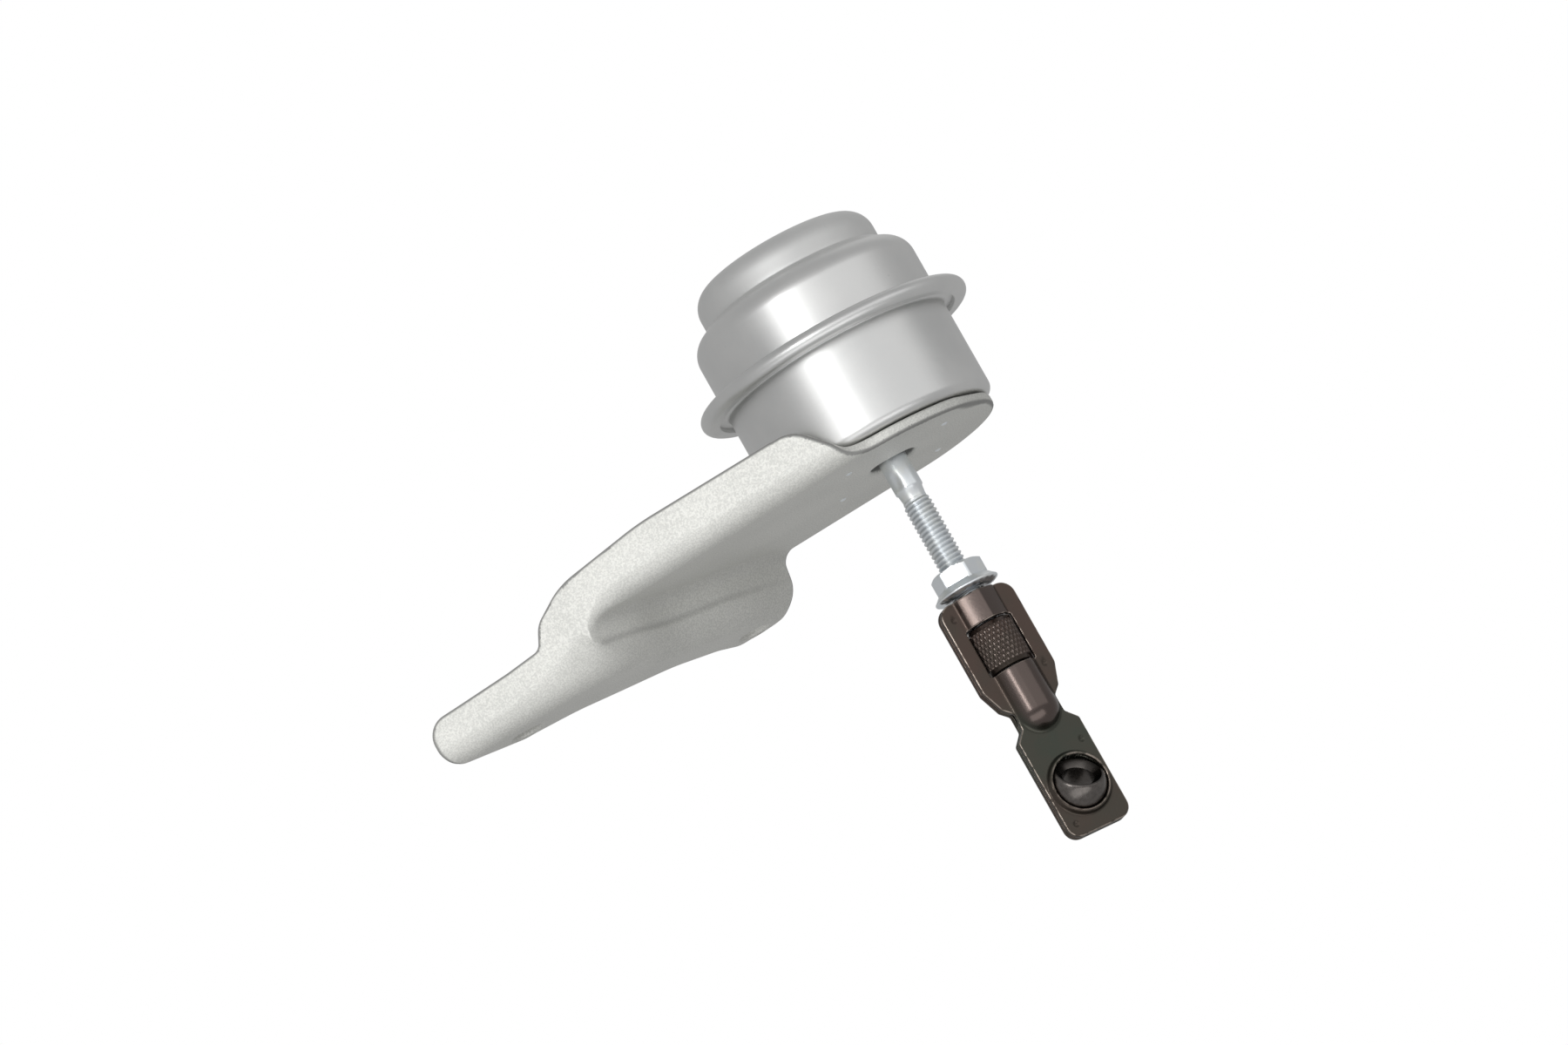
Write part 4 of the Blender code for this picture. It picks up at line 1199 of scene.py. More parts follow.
@dataclass
class Cans:
    """The two drawn cans, the hose nipple and the rolling diaphragm between them."""

    sheet: float = 0.7
    radius: float = 24.5
    floor: float = 2.8
    foot_round: float = 2.0
    rod_hole: float = 4.9
    fillet: float = 0.8
    roll: float = 1.75
    roll_height: float = 24.65
    crimp_radius: float = 30.1
    lip: float = 27.0
    flange: float = 29.0
    flange_height: float = 23.9
    shoulder_top: float = 40.5
    shoulder_round: float = 5.0
    cap_radius: float = 19.75
    cap_top: float = 48.9
    cap_round: float = 5.0
    neck_rise: float = 0.9
    neck_round: float = 0.5
    lip_round: float = 0.25
    nipple_height: float = 32.5
    nipple_turn: float = 102.0
    nipple_seat: float = 0.3
    nipple_length: float = 16.0
    barb: tuple[Point2, ...] = ((3.05, 0.5), (3.72, 2.8), (3.80, 2.95), (3.72, 3.05), (3.0, 3.1))
    barb_pitch: float = 4.2
    rubber: float = 0.7
    crown: Point2 = (15.0, 35.2)
    crown_round: float = 3.5
    loop_height: float = 20.5
    loop_gap: float = 1.7
    rolling: Point2 = (25.9, 37.5)
    steps: int = 160

    def lower_profile(self) -> list[Point2]:
        """Draw the lower can.

        Returns:
            The section's (radius, height) points.
        """
        foot = (self.radius - self.foot_round, self.floor + self.foot_round)
        root = (self.radius + self.fillet, self.flange_height - self.fillet)
        profile = [(self.flange, self.flange_height + rise) for rise in (self.sheet, 0.0)]
        profile += arc(root, self.fillet, 90.0, 180.0)
        profile += arc(foot, self.foot_round, 0.0, -90.0)
        profile += [(self.rod_hole, self.floor), (self.rod_hole, self.floor + self.sheet)]
        profile += arc(foot, self.foot_round - self.sheet, -90.0, 0.0)
        return profile + arc(root, self.fillet + self.sheet, 180.0, 90.0)

    def upper_profile(self) -> list[Point2]:
        """Draw the upper can, from the cap's middle round to its inside.

        Returns:
            The section's (radius, height) points.
        """
        sheet = self.sheet
        cap = (self.cap_radius - self.cap_round, self.cap_top - self.cap_round)
        shoulder = (self.radius - self.shoulder_round, self.shoulder_top - self.shoulder_round)
        top = self.roll_height + self.roll
        base = self.roll_height - self.roll
        root = (self.radius + self.fillet, top + self.fillet)
        roll = (self.crimp_radius - self.roll, self.roll_height)
        neck = (self.cap_radius + self.neck_round, self.shoulder_top + self.neck_rise)
        outside = [(0.0, self.cap_top), *arc(cap, self.cap_round, 90.0, 0.0, 14)]
        outside += arc(neck, self.neck_round, 180.0, 250.0, 4)
        outside += arc(shoulder, self.shoulder_round, 76.0, 0.0, 14)
        outside += arc(root, self.fillet, 180.0, 270.0, 6)
        outside += arc(roll, self.roll, 90.0, -90.0, 16)
        outside += arc((self.lip, base + self.lip_round), self.lip_round, 270.0, 180.0, 3)
        under = self.flange_height - 0.02
        inside = [(self.lip - self.lip_round, under), (self.lip + 0.8, under)]
        inside += arc(roll, self.roll - sheet, -90.0, 90.0)
        inside += arc(root, self.fillet + sheet, 270.0, 180.0, 4)
        inside += arc(shoulder, self.shoulder_round - sheet, 0.0, 75.0)
        inside += [(self.cap_radius - sheet, neck[1] - sheet)]
        inside += arc(cap, self.cap_round - sheet, 0.0, 90.0)
        return outside + inside + [(0.0, self.cap_top - sheet)]

    def nipple_profile(self) -> list[Point2]:
        """Draw the nipple, from its tip back into the can's wall.

        Returns:
            The section's (radius, height) points.
        """
        seat = self.radius + self.nipple_seat
        tip = seat + self.nipple_length
        root = self.radius - 2.3
        profile = [(2.6, tip), (2.95, tip - 0.35)]
        for start in (tip, tip - self.barb_pitch):
            profile += [(radius, start - back) for radius, back in self.barb]
        profile += [(3.0, seat + 1.5), *arc((4.05, seat + 0.95), 0.25, 90.0, 0.0, 3)]
        profile += [(4.5, seat + 0.1), (4.6, seat - 0.25), (3.0, seat - 0.25)]
        return profile + [(3.0, root), (2.0, root), (2.0, tip - 0.3), (2.15, tip)]

    def diaphragm_profile(self) -> list[Point2]:
        """Draw the diaphragm: crown, loop and clamped edge.

        Returns:
            The section's (radius, height) points.
        """
        crown, gap, sheet = self.crown, self.loop_gap, self.rubber
        root = (self.radius + self.fillet, self.flange_height - self.fillet)
        wall = crown[0] + self.crown_round
        hang = root[0] - gap - sheet
        loop = ((wall + hang) / 2.0, self.loop_height)
        inner = (hang - wall) / 2.0
        top = [(3.3, 38.7), *arc(crown, self.crown_round, 90.0, 0.0)]
        top += [*arc(loop, inner, 180.0, 360.0, 12), *arc(root, gap + sheet, 180.0, 90.0, 6)]
        bottom = [(28.4, 25.5), (28.4, 24.8), *arc(root, gap, 90.0, 180.0, 6)]
        bottom += arc(loop, inner + sheet, 360.0, 180.0, 12)
        return top + bottom + [*arc(crown, self.crown_round - sheet, 0.0, 90.0), (3.3, 38.0)]

    def build(self, fitter: Fitter) -> None:
        """Make the cans, the nipple and the diaphragm.

        Args:
            fitter: Dresses the pieces and hangs them on their bodies.
        """
        lower = Form().turned(self.lower_profile(), self.steps)
        fitter.fit(lower.object("can_lower"), Body.HOUSING, Slot.CAN, "lower_can")
        upper = Form().turned(self.upper_profile(), self.steps, False)
        fitter.fit(upper.object("can_upper"), Body.HOUSING, Slot.CAN, "upper_can")
        level = Matrix.Rotation(math.pi / 2.0, 4, "Y")
        turn = Matrix.Rotation(math.radians(self.nipple_turn), 4, "Z")
        lift = Matrix.Translation((0.0, 0.0, self.nipple_height))
        nipple = Form().turned(self.nipple_profile(), 48).moved(lift @ turn @ level)
        fitter.fit(nipple.object("nipple_barbed"), Body.HOUSING, Slot.PRESSED, "hose_nipple")
        rubber = Form().turned(self.diaphragm_profile(), 72).object("diaphragm_rolled")
        rubber.data.materials.append(fitter.finishes[Slot.RUBBER])
        fitter.name(rubber, Slot.RUBBER, "diaphragm")
        rubber.modifiers.clear()
        start, end = ((HOME + Vector((0.0, 0.0, z))) * MM for z in self.rolling)
        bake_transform(rubber, Body.HOUSING.value, Body.ROD.value, start=start, end=end)


@dataclass
class Spring:
    """The return spring inside the lower can."""

    radius: float = 14.3
    wire: float = 1.25
    turns: int = 5
    facets: int = 36
    base: float = 5.05
    top: float = 35.45
    keep: float = 0.684

    def build(self, fitter: Fitter) -> None:
        """Make the coil by sweeping a circle along its helix.

        Args:
            fitter: Dresses the pieces and hangs them on their bodies.
        """
        form = Form()
        mesh = form.mesh
        bmesh.ops.create_circle(mesh, cap_ends=True, segments=12, radius=self.wire)
        upright = Matrix.Rotation(math.pi / 2.0, 4, "X")
        form.moved(Matrix.Translation((self.radius, 0.0, self.base + self.wire)) @ upright)
        rise = self.top - self.base - self.wire
        count = self.facets * self.turns
        bmesh.ops.spin(
            mesh, geom=[*mesh.verts, *mesh.edges, *mesh.faces], cent=(0.0, 0.0, 0.0),
            axis=(0.0, 0.0, 1.0), dvec=(0.0, 0.0, rise / count), angle=math.tau * self.turns,
            steps=count,
        )
        coil = form.object("spring_coil")
        coil.modifiers.clear()
        fitter.fit(coil, Body.HOUSING, Slot.SPRING, "return_spring")
        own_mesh(coil)


@dataclass
class Rod:
    """The rod: rivet head, collar, shank, crimped neck and M6 thread."""

    head: tuple[Point2, ...] = (
        (0.0, 41.3), (3.2, 41.3), (4.2, 41.0), (4.6, 40.6), (4.6, 40.0), (3.0, 40.0), (3.0, 36.7),
        (5.2, 36.7), (5.2, 35.5), (3.0, 35.5),
    )
    radius: float = 3.0
    neck_radius: float = 2.7
    neck_top: float = -6.9
    thread_top: float = -8.6
    thread_fade: float = 1.4
    crest: float = 2.95
    root: float = 2.50
    pitch: float = 1.0
    end: float = -57.8
    end_fade: float = 1.0
    chamfer: Point2 = (0.25, 0.6)
    crimp: Point2 = (-6.6, -2.6)
    crimp_depth: float = 0.34
    crimp_turn: float = 1.2
    core: float = 0.5
    steps: int = 48

    def profile(self) -> list[Point2]:
        """Draw the rod, with close rows along the thread.

        Returns:
            The section's (radius, height) points.
        """
        shank = [(self.radius, -0.5 * row) for row in range(14)]
        neck = [(self.neck_radius, self.neck_top), (self.neck_radius, self.thread_top)]
        rows = round((self.thread_top - self.end) * 10.0)
        thread = [(self.root, self.thread_top - 0.1 * row) for row in range(1, rows + 1)]
        return [*self.head, *shank, *neck, *thread, (0.0, self.end)]

    def ridge(self, co: Vector) -> float:
        """Return the share of the thread's height at a place, without its fading ends."""
        turn = (co.z / self.pitch - math.atan2(co.y, co.x) / math.tau) % 1.0
        return (0.5 - 0.5 * math.cos(math.tau * turn)) ** 0.8

    def valley_shade(self, co: Vector) -> float:
        """Find how deep in the thread a place lies, which sets the painted shade in the valley.

        Args:
            co: The place.

        Returns:
            0 on the crest and 1 in the valley.
        """
        if math.hypot(co.x, co.y) < self.core:
            return 0.0
        return (1.0 - self.ridge(co)) ** 2 * eased((self.thread_top - 0.3 - co.z) / 1.2)

    def cut(self, co: Vector) -> Vector:
        """Form the thread, the end's chamfer and the crimp marks.

        Args:
            co: A vertex of the plain rod.

        Returns:
            Its new place.
        """
        wanted = math.hypot(co.x, co.y)
        if wanted < self.core or co.z > 0.0:
            return co
        low, high = self.crimp
        if co.z < self.thread_top:
            past = co.z - self.end
            fade = min(1.0, (self.thread_top - co.z) / self.thread_fade)
            fade = min(fade, max(0.0, past / self.end_fade))
            depth, length = self.chamfer
            wanted = self.root + (self.crest - self.root) * self.ridge(co) * fade
            wanted -= depth * max(0.0, 1.0 - past / length)
        elif low < co.z < high:
            turn = math.atan2(co.y, co.x) - self.crimp_turn
            lobe = max(0.0, math.cos(2.0 * turn)) ** 6
            along = math.sin(math.pi * (co.z - low) / (high - low))
            wanted -= self.crimp_depth * lobe * max(0.0, along) ** 0.6
        return at_radius(co, wanted)

    def build(self, fitter: Fitter) -> None:
        """Make the rod.

        Args:
            fitter: Dresses the pieces and hangs them on their bodies.
        """
        form = Form().turned(self.profile(), self.steps, False).worked(self.cut)
        # This mark darkens the thread's valleys as painted shade.
        form.marked("valley_shade", self.valley_shade)
        fitter.fit(form.object("rod_threaded", 75.0), Body.ROD, Slot.ZINC, "actuator_rod")


@dataclass
class LockNut:
    """The flanged hexagon nut, with serrations under its flange."""

    top: float = -24.9
    base: float = -30.8
    flats: float = 10.0
    hexagon: Point2 = (4.5, -28.5)
    corner: float = 5.62
    corner_keep: float = 0.25
    crown: float = 4.72
    crown_slope: float = 28.0
    bore: float = 3.15
    flange_edge: tuple[Point2, float] = ((6.72, -30.02), 0.30)
    turn: float = 4.0
    toothed: tuple[float, float, float] = (4.4, 6.5, -30.3)
    teeth: int = 24
    tooth_depth: float = 0.08

    def profile(self) -> list[Point2]:
        """Draw the nut before its hexagon is formed.

        Returns:
            The section's (radius, height) points.
        """
        rows = [(self.bore + 0.5, self.top), (4.3, self.top)]
        rows += [(6.6, self.top - 0.04 - 0.12 * row) for row in range(12)]
        rows += [(6.6, -27.0), (6.6, -28.0), (6.6, -28.35), (5.6, -28.6)]
        rows += arc(*self.flange_edge, 70.0, -60.0, 7)
        rows += [(6.3, -30.42), (5.6, -30.5), (4.6, -30.55), (3.9, -30.6)]
        rows += [(self.bore + 0.5, self.base + 0.1), (self.bore, -30.2)]
        return rows + [(self.bore, self.top - 0.5)]

    def formed(self, co: Vector) -> Vector:
        """Form the flats, the crown's chamfer and the serrations.

        Args:
            co: A vertex of the plain nut.

        Returns:
            Its new place.
        """
        distance = math.hypot(co.x, co.y)
        angle = math.atan2(co.y, co.x)
        inner, outer, under = self.toothed
        if distance > self.hexagon[0] and co.z > self.hexagon[1]:
            part = angle % (math.pi / 3.0) - math.pi / 6.0
            flat = self.flats / 2.0 / math.cos(part)
            if flat > self.corner:
                flat = self.corner + self.corner_keep * (flat - self.corner)
            slope = math.tan(math.radians(self.crown_slope))
            return at_radius(co, min(flat, self.crown + (self.top - co.z) / slope))
        if inner < distance < outer and co.z < under:
            tooth = self.tooth_depth * (1.0 + math.sin(angle * self.teeth))
            return Vector((co.x, co.y, co.z - tooth))
        return co

    def build(self, fitter: Fitter) -> None:
        """Make the nut.

        Args:
            fitter: Dresses the pieces and hangs them on their bodies.
        """
        turn = Matrix.Rotation(math.radians(self.turn), 4, "Z")
        form = Form().turned(self.profile(), 192).worked(self.formed).moved(turn)
        fitter.fit(form.object("nut_locking", 32.0), Body.LOCK_NUT, Slot.ZINC, "lock_nut")


@dataclass
class Adjuster:
    """The diamond-knurled nut in the rod end's window.

    Its rim is listed as (inset, rise) from the knurl's radius and the nut's end.
    """

    radius: float = 5.05
    bore: float = 3.2
    top: float = -38.2
    end: float = -48.2
    plain: float = 0.95
    rim: tuple[Point2, ...] = ((0.42, 0.95), (0.55, 0.25), (0.95, 0.0))
    depth: float = 0.30
    columns: int = 30
    rows: int = 72
    diamond: float = 2.0
    wear: float = 0.3

    def profile(self) -> list[Point2]:
        """Draw the nut, with close rows on the knurl.

        Returns:
            The section's (radius, height) points.
        """
        rim = [(self.radius - inset, rise) for inset, rise in self.rim] + [(self.bore, 0.0)]
        high, low = self.top - self.plain - 0.1, self.end + self.plain + 0.1
        section = [(radius, self.top - rise) for radius, rise in reversed(rim)]
        for row in range(self.rows + 1):
            section.append((self.radius, high - (high - low) * row / self.rows))
        return section + [(radius, self.end + rise) for radius, rise in rim]

    def outward(self, co: Vector) -> float:
        """Return how far a place lies outside the knurl's radius."""
        return math.hypot(co.x, co.y) - self.radius

    def knurled(self, co: Vector) -> Vector:
        """Press the knurl in, where a groove of either hand crosses.

        Args:
            co: A vertex of the plain nut.

        Returns:
            Its new place.
        """
        if self.outward(co) < -0.1:
            return co
        angle = math.atan2(co.y, co.x) * self.columns / 2.0
        climb = math.pi * co.z / self.diamond
        groove = max(1.0 - abs(math.sin(angle + climb)), 1.0 - abs(math.sin(angle - climb)))
        return at_radius(co, self.radius - self.depth * groove ** 1.5)

    def build(self, fitter: Fitter) -> None:
        """Make the nut.

        Args:
            fitter: Dresses the pieces and hangs them on their bodies.
        """
        form = Form().turned(self.profile(), 10 * self.columns).worked(self.knurled)
        form.marked("drawn", lambda co: eased((self.outward(co) + 0.12) / 0.1))
        form.marked("edge_wear", lambda co: self.wear * eased((self.outward(co) + 0.06) / 0.05))
        fitter.fit(form.object("nut_knurled", 80.0), Body.ADJUSTER, Slot.BRONZE, "adjuster_nut")


@dataclass
class RodEnd:
    """The two mirrored pressings round the rod, the adjuster nut and the ball.

    A pressing is laid out with X across it and Y up the rod, and its outer face looks to -Y
    once it is pressed.
    """

    thick: float = 1.2
    face_height: float = 1.35
    edge_round: float = 0.28
    turn: float = -53.0
    half_outline: tuple[Corner, ...] = (
        (8.65, -31.4, 3.0), (8.65, -50.7, 2.0), (6.85, -55.3, 0.8), (5.1, -56.9, 1.0),
        (5.1, -60.6, 1.0), (7.3, -62.9, 1.0), (7.3, -85.1, 2.7),
    )
    channel: float = 4.9
    channel_end: float = -57.9
    channel_fillet: float = 0.9
    flats: Point2 = (5.06, 0.5774)
    flats_share: float = 0.8
    drawn: Point2 = (1.9, 1.6)
    drawn_low: float = -66.0
    window: tuple[float, float, float] = (5.35, -37.9, -48.5)
    socket_z: float = -75.1
    opening: float = 5.65
    lip_radius: float = 6.75
    lip_height: float = 2.60
    lip_roll: float = 0.20
    lip_wear: float = 0.7
    room: float = 6.22
    joint: float = 0.15
    dimples: tuple[Point2, ...] = ((-6.4, -34.8), (6.4, -50.2), (5.2, -67.3), (-5.05, -82.4))
    dimple_radius: float = 0.7
    dimple_depth: float = 0.24

    def channel_height(self, across: float, up: float) -> float:
        """Shape the rod channel and its closed end.

        Args:
            across: The place across the pressing.
            up: The place along it.

        Returns:
            The height of the outer face over the middle plane.
        """
        along = min(0.0, up - self.channel_end)
        rho = math.hypot(across, along)
        fillet = self.channel_fillet
        base = self.face_height + fillet
        foot = math.sqrt((self.channel + fillet) ** 2 - base ** 2)
        crest = foot * self.channel / (self.channel + fillet)
        if rho >= foot:
            return self.face_height
        if rho > crest:
            return base - math.sqrt(fillet ** 2 - (foot - rho) ** 2)
        height = math.sqrt(self.channel ** 2 - rho ** 2)
        if up > self.window[1] - 0.2:
            faceted = self.flats[0] - abs(across) * self.flats[1]
            height += self.flats_share * (faceted - height)
        return height

    def lip(self, across: float, up: float) -> float:
        """Shape the lip round the socket.

        Args:
            across: The place across the pressing.
            up: The place along it.

        Returns:
            How far the lip is raised.
        """
        rho = math.hypot(across, up - self.socket_z)
        edge = eased((rho - self.opening + 0.15) / 0.5)
        rolled = 1.0 - self.lip_roll + self.lip_roll * edge
        raised = eased((self.lip_radius + 0.1 - rho) / 0.6)
        return (self.lip_height - self.face_height) * raised * rolled

    def ring_line(self, co: Vector) -> float:
        """Mark the socket ring's inner shoulder.

        Args:
            co: A place on the upright pressing.

        Returns:
            How worn it is.
        """
        if -co.y < self.face_height + 0.4:
            return 0.0
        rho = math.hypot(co.x, co.z - self.socket_z)
        return self.lip_wear * bell(rho, self.opening + 0.25, 0.2)

    def drawn_share(self, co: Vector) -> float:
        """Return how far a place stands out on the rod channel."""
        start, run = self.drawn
        return eased((-co.y - start) / run) if co.z > self.drawn_low else 0.0

    def face(self, across: float, up: float) -> Vector:
        """Shape the outer face: channel, lip and dimples.

        Args:
            across: The place across the pressing.
            up: The place along it.

        Returns:
            The point, as (across, up, out).
        """
        out = self.channel_height(across, up) + self.lip(across, up)
        for x, z in self.dimples:
            gap = math.hypot(across - x, up - z)
            if gap < self.dimple_radius:
                out -= self.dimple_depth * math.cos(math.pi * gap / self.dimple_radius / 2.0)
        return Vector((across, up, out))

    def pressed(self, point: Vector) -> Vector:
        """Press a point of the blank, and keep it clear of the ball.

        Args:
            point: The point, as across, up and depth.

        Returns:
            Its place on the upright pressing.
        """
        slope_x = self.face(point.x + PROBE, point.y) - self.face(point.x - PROBE, point.y)
        slope_y = self.face(point.x, point.y + PROBE) - self.face(point.x, point.y - PROBE)
        normal = slope_x.cross(slope_y).normalized()
        here = self.face(point.x, point.y) - normal * point.z
        ball = Vector((0.0, self.socket_z, 0.0))
        gap = (here - ball).length
        if gap < self.room:
            here = ball + (here - ball) * (self.room / gap)
        return Vector((here.x, -max(here.z, self.joint), here.y))

    def build(self, fitter: Fitter) -> None:
        """Make both pressings.

        Args:
            fitter: Dresses the pieces and hangs them on their bodies.
        """
        mirrored = [(-x, z, radius) for x, z, radius in reversed(self.half_outline)]
        outline = rounded([*self.half_outline, *mirrored], count=10)
        half, high, low = self.window
        corners = [(half, high, 0.5), (half, low, 0.5), (-half, low, 0.5), (-half, high, 0.5)]
        window = rounded(corners, count=4)
        socket = arc((0.0, self.socket_z), self.opening, 0.0, 360.0, 72)[:-1]
        columns = lines((-8.6, -7.1, 0.5), (-7.1, 7.1, 0.17), (7.1, 8.6, 0.5))
        rows = lines(
            (-85.0, -82.3, 0.3), (-82.3, -67.9, 0.17), (-67.9, -56.0, 0.3), (-56.0, -49.8, 0.4),
            (-49.8, -38.3, 1.5), (-38.3, -37.3, 0.2), (-37.3, -34.0, 0.35), (-34.0, -31.5, 0.8),
        )
        for name, turn in (("front", 90.0), ("rear", -90.0)):
            blank = Blank(outline, self.thick, self.edge_round, [window, socket])
            form = blank.ready(columns, rows).worked(self.pressed)
            form.marked("drawn", self.drawn_share)
            form.marked("edge_wear", self.ring_line)
            form.moved(Matrix.Rotation(math.radians(self.turn + turn), 4, "Z"))
            piece = form.object("rod_end_plate_" + name, 55.0)
            fitter.fit(piece, Body.ROD_END, Slot.BRONZE, "rod_end_" + name)


@dataclass
class Ball:
    """The bored ball, as tilted as the photograph shows it."""

    radius: float = 6.0
    bore: float = 3.25
    half_width: float = 3.15
    corner: float = 0.2
    countersink: float = 1.35
    sink_depth: float = 1.15
    bore_shade: float = 0.3
    centre: float = -75.1
    axis: Colour = (0.613, -0.531, 0.582)

    def deep(self, co: Vector) -> float:
        """Shade the ball's hollow: dark in the countersink, less so in the bore.

        Args:
            co: A place on the ball, before it is turned.

        Returns:
            How dark the place is.
        """
        rho = math.hypot(co.x, co.y)
        if rho < self.bore + 0.05:
            return self.bore_shade
        return eased((self.radius - 0.9 - rho) / 0.4)

    def build(self, fitter: Fitter) -> None:
        """Make the ball, with a flat face round each end of its bore.

        Args:
            fitter: Dresses the pieces and hangs them on their bodies.
        """
        flat = self.half_width - self.corner
        lean = math.degrees(math.asin(flat / self.radius))
        edge = math.sqrt(self.radius ** 2 - flat ** 2) - 0.3
        side = arc((0.0, 0.0), self.radius, lean, -lean, 32)
        sink = self.bore + self.countersink
        lower = [*arc((edge, -flat), self.corner, -30.0, -90.0, 3), (sink, -self.half_width)]
        lower += [(self.bore, self.sink_depth - self.half_width), (self.bore, -0.8)]
        upper = [(x, -z) for x, z in reversed(lower)]
        place = Vector(self.axis).to_track_quat("Z", "Y").to_matrix().to_4x4()
        form = Form().turned([*side, *lower, *upper], 96)
        form.marked("deep", self.deep)
        form.moved(Matrix.Translation((0.0, 0.0, self.centre)) @ place)
        fitter.fit(form.object("ball_bored", 40.0), Body.BALL, Slot.BALL, "swivel_ball")


# Studio


@dataclass(frozen=True)
class Camera:
    """The photograph's camera: a long lens, below the plate and rolled."""

    lens: float = 300.0
    sensor: float = 36.0
    pixels_per_mm: float = 5.75
    frame_pixels: float = 1800.0
    offset_right: float = 123.1
    offset_up: float = 68.3
    nudge: float = 3.0
    azimuth: float = 12.0
    elevation: float = -10.5
    roll: float = 29.5

    def axes(self) -> tuple[Vector, Vector, Vector]:
        """Find the camera's directions before its roll.

        Returns:
            The right, up and backward directions.
        """
        back = direction(self.azimuth - 90.0, self.elevation)
        right = direction(self.azimuth, 0.0)
        return right, back.cross(right), back

    def place(self) -> None:
        """Create the camera and make it the scene's own."""
        level, plumb, back = self.axes()
        roll = math.radians(self.roll)
        right = level * math.cos(roll) - plumb * math.sin(roll)
        up = plumb * math.cos(roll) + level * math.sin(roll)
        unit = MM / self.pixels_per_mm
        target = HOME * MM - right * (self.offset_right * unit) - up * (self.offset_up * unit)
        target -= level * (self.nudge * unit)
        distance = self.frame_pixels * unit * self.lens / self.sensor
        data = bpy.data.cameras.new("camera")
        data.lens = self.lens
        data.sensor_width = self.sensor
        camera = bpy.data.objects.new("camera", data)
        basis = Matrix((right, up, back)).transposed().to_4x4()
        camera.matrix_world = Matrix.Translation(target + back * distance) @ basis
        bpy.context.scene.collection.objects.link(camera)
        bpy.context.scene.camera = camera


@dataclass(frozen=True)
class Lamp:
    """One soft area lamp, placed by its direction from the part."""

    name: str
    azimuth: float
    elevation: float
    distance: float
    size: Point2
    power: float
    diffuse: bool = True
    glossy: bool = True

    def place(self, target: Vector) -> None:
        """Create the lamp, turned to the target.

        Args:
            target: What it lights.
        """
        way = direction(self.azimuth, self.elevation)
        data = bpy.data.lights.new(self.name, "AREA")
        data.shape = "RECTANGLE"
        data.size, data.size_y = self.size
        data.energy = self.power
        lamp = bpy.data.objects.new(self.name, data)
        aim = way.to_track_quat("Z", "Y").to_matrix().to_4x4()
        lamp.matrix_world = Matrix.Translation(target + way * self.distance) @ aim
        lamp.visible_diffuse = self.diffuse
        lamp.visible_glossy = self.glossy
        bpy.context.scene.collection.objects.link(lamp)


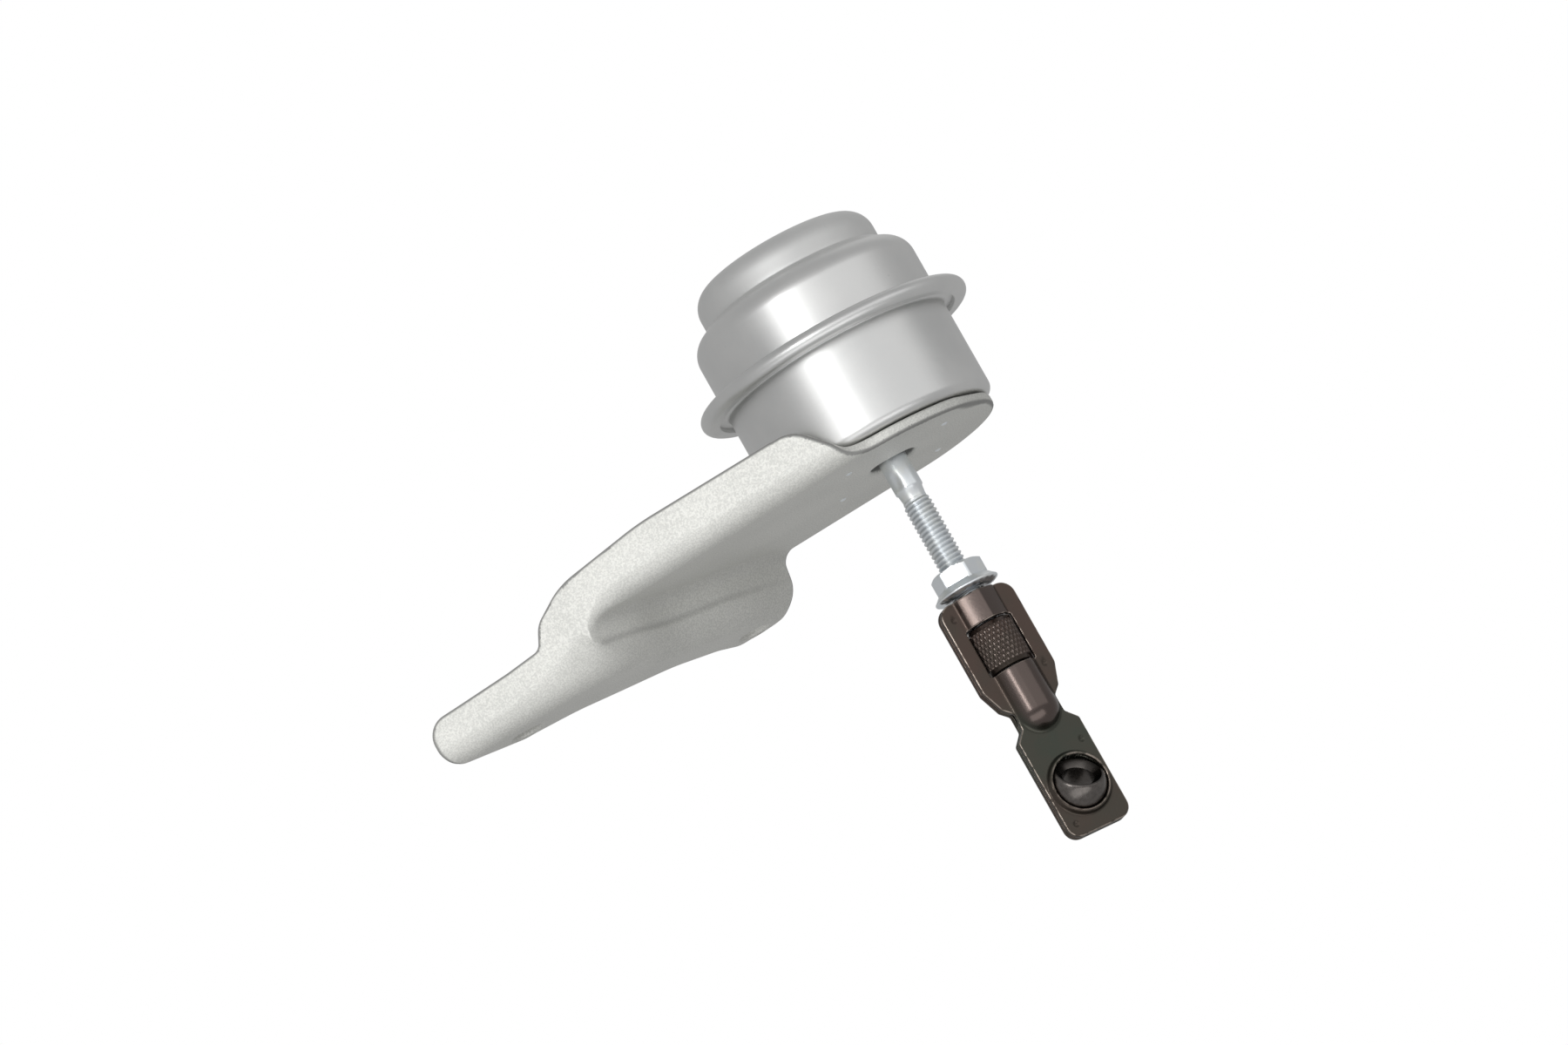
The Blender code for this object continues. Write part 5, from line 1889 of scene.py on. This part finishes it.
@dataclass(frozen=True)
class Studio:
    """White surroundings, a pale floor under the part and soft lamps, in metres."""

    ambient: float = 0.43
    backdrop_cone: tuple[float, float] = (0.975, 0.995)
    floor_radius: float = 3.0
    floor_drop: float = 0.0155
    floor_scale: float = 6.0
    floor_colour: Colour = (0.80, 0.80, 0.79)
    floor_clouds: float = 0.97
    lamps: tuple[Lamp, ...] = (
        Lamp("key", -121.0, 10.0, 1.8, (1.90, 1.20), 25.6, glossy=False),
        Lamp("panel", -88.0, 12.0, 1.0, (1.10, 0.54), 1.26, diffuse=False),
        Lamp("core", -94.5, 12.0, 1.0, (0.18, 0.36), 1.30, diffuse=False),
        Lamp("side", -30.0, 12.0, 1.0, (1.20, 0.54), 1.02, diffuse=False),
        Lamp("front", -78.0, -40.0, 1.1, (1.60, 0.60), 2.90, diffuse=False),
        Lamp("back", 85.0, 50.0, 1.0, (0.80, 0.80), 0.35),
    )

    def world(self, back: Vector) -> None:
        """Light the scene softly, with a white backdrop behind the part.

        Args:
            back: The direction from the part to the camera.
        """
        world = bpy.data.worlds.new("studio")
        bpy.context.scene.world = world
        graph = Graph(world)
        rays = graph.node("ShaderNodeLightPath").outputs
        seen, glossy, through = (
            Value(graph, rays[f"Is {kind} Ray"]) for kind in ("Camera", "Glossy", "Transmission")
        )
        ends = {0: graph.value("ShaderNodeTexCoord", "Generated"), 1: tuple(-back)}
        facing = graph.value("ShaderNodeVectorMath", "Value", ends, {"operation": "DOT_PRODUCT"})
        cone = facing.rise(*self.backdrop_cone)
        white = graph.math("MAXIMUM", seen, cone * (glossy + through))
        strength = white * (1.0 - self.ambient) + self.ambient
        inputs = {"Color": (1.0, 1.0, 1.0, 1.0), "Strength": strength}
        shown = graph.value("ShaderNodeBackground", "Background", inputs)
        graph.node("ShaderNodeOutputWorld", {"Surface": shown})

    def floor(self, low: float) -> None:
        """Lay the floor below the rod end's lowest pose, to be seen from above only.

        Args:
            low: The height of the part's lowest point at rest.
        """
        build = bmesh.new()
        bmesh.ops.create_circle(build, cap_ends=True, segments=96, radius=self.floor_radius)
        bmesh.ops.translate(build, verts=build.verts, vec=(0.0, 0.0, low - self.floor_drop))
        floor = linked("floor", build)
        floor.visible_shadow = False
        floor.visible_diffuse = False
        floor.visible_glossy = False
        graph = Graph(bpy.data.materials.new("floor"))
        darker = tuple(self.floor_clouds * part for part in self.floor_colour)
        colour = graph.mix(graph.noise(self.floor_scale), darker, self.floor_colour)
        sides = {
            0: graph.value("ShaderNodeNewGeometry", "Backfacing"),
            1: graph.value("ShaderNodeBsdfDiffuse", "BSDF", {"Color": colour}),
            2: graph.value("ShaderNodeBsdfTransparent", "BSDF"),
        }
        shown = graph.value("ShaderNodeMixShader", "Shader", sides)
        graph.node("ShaderNodeOutputMaterial", {"Surface": shown})
        floor.data.materials.append(graph.owner)
        floor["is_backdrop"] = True

    def set_up(self, camera: Camera, low: float) -> None:
        """Place the camera, the lamps, the world and the floor.

        Args:
            camera: The photograph's camera.
            low: The part's lowest point at rest.
        """
        camera.place()
        self.world(camera.axes()[2])
        for lamp in self.lamps:
            lamp.place(HOME * MM)
        self.floor(low)
        bpy.context.scene.view_settings.view_transform = "Standard"


def box_as_lists(box: Sequence[Vector]) -> list[list[float]]:
    """Return a box's two corners as plain lists of numbers."""
    return [[float(part) for part in corner] for corner in box]


def main() -> None:
    """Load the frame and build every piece."""
    logging.basicConfig(level=logging.INFO, format="%(name)s: %(message)s")
    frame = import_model()
    cad_box = box_as_lists(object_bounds())
    Studio().set_up(Camera(), cad_box[0][2])
    fitter = Fitter()
    for assembly in (Bracket(), Cans(), Spring(), Rod(), LockNut(), Adjuster(), RodEnd(), Ball()):
        assembly.build(fitter)
    for name in ("piston_cup", "diaphragm_retainer", "spring_seat"):
        fitter.dress(frame["nodes"][name], Slot.PRESSED)
    fitter.dress(frame["nodes"]["rod_bush"], Slot.POLYMER)


if __name__ == "__main__":
    main()
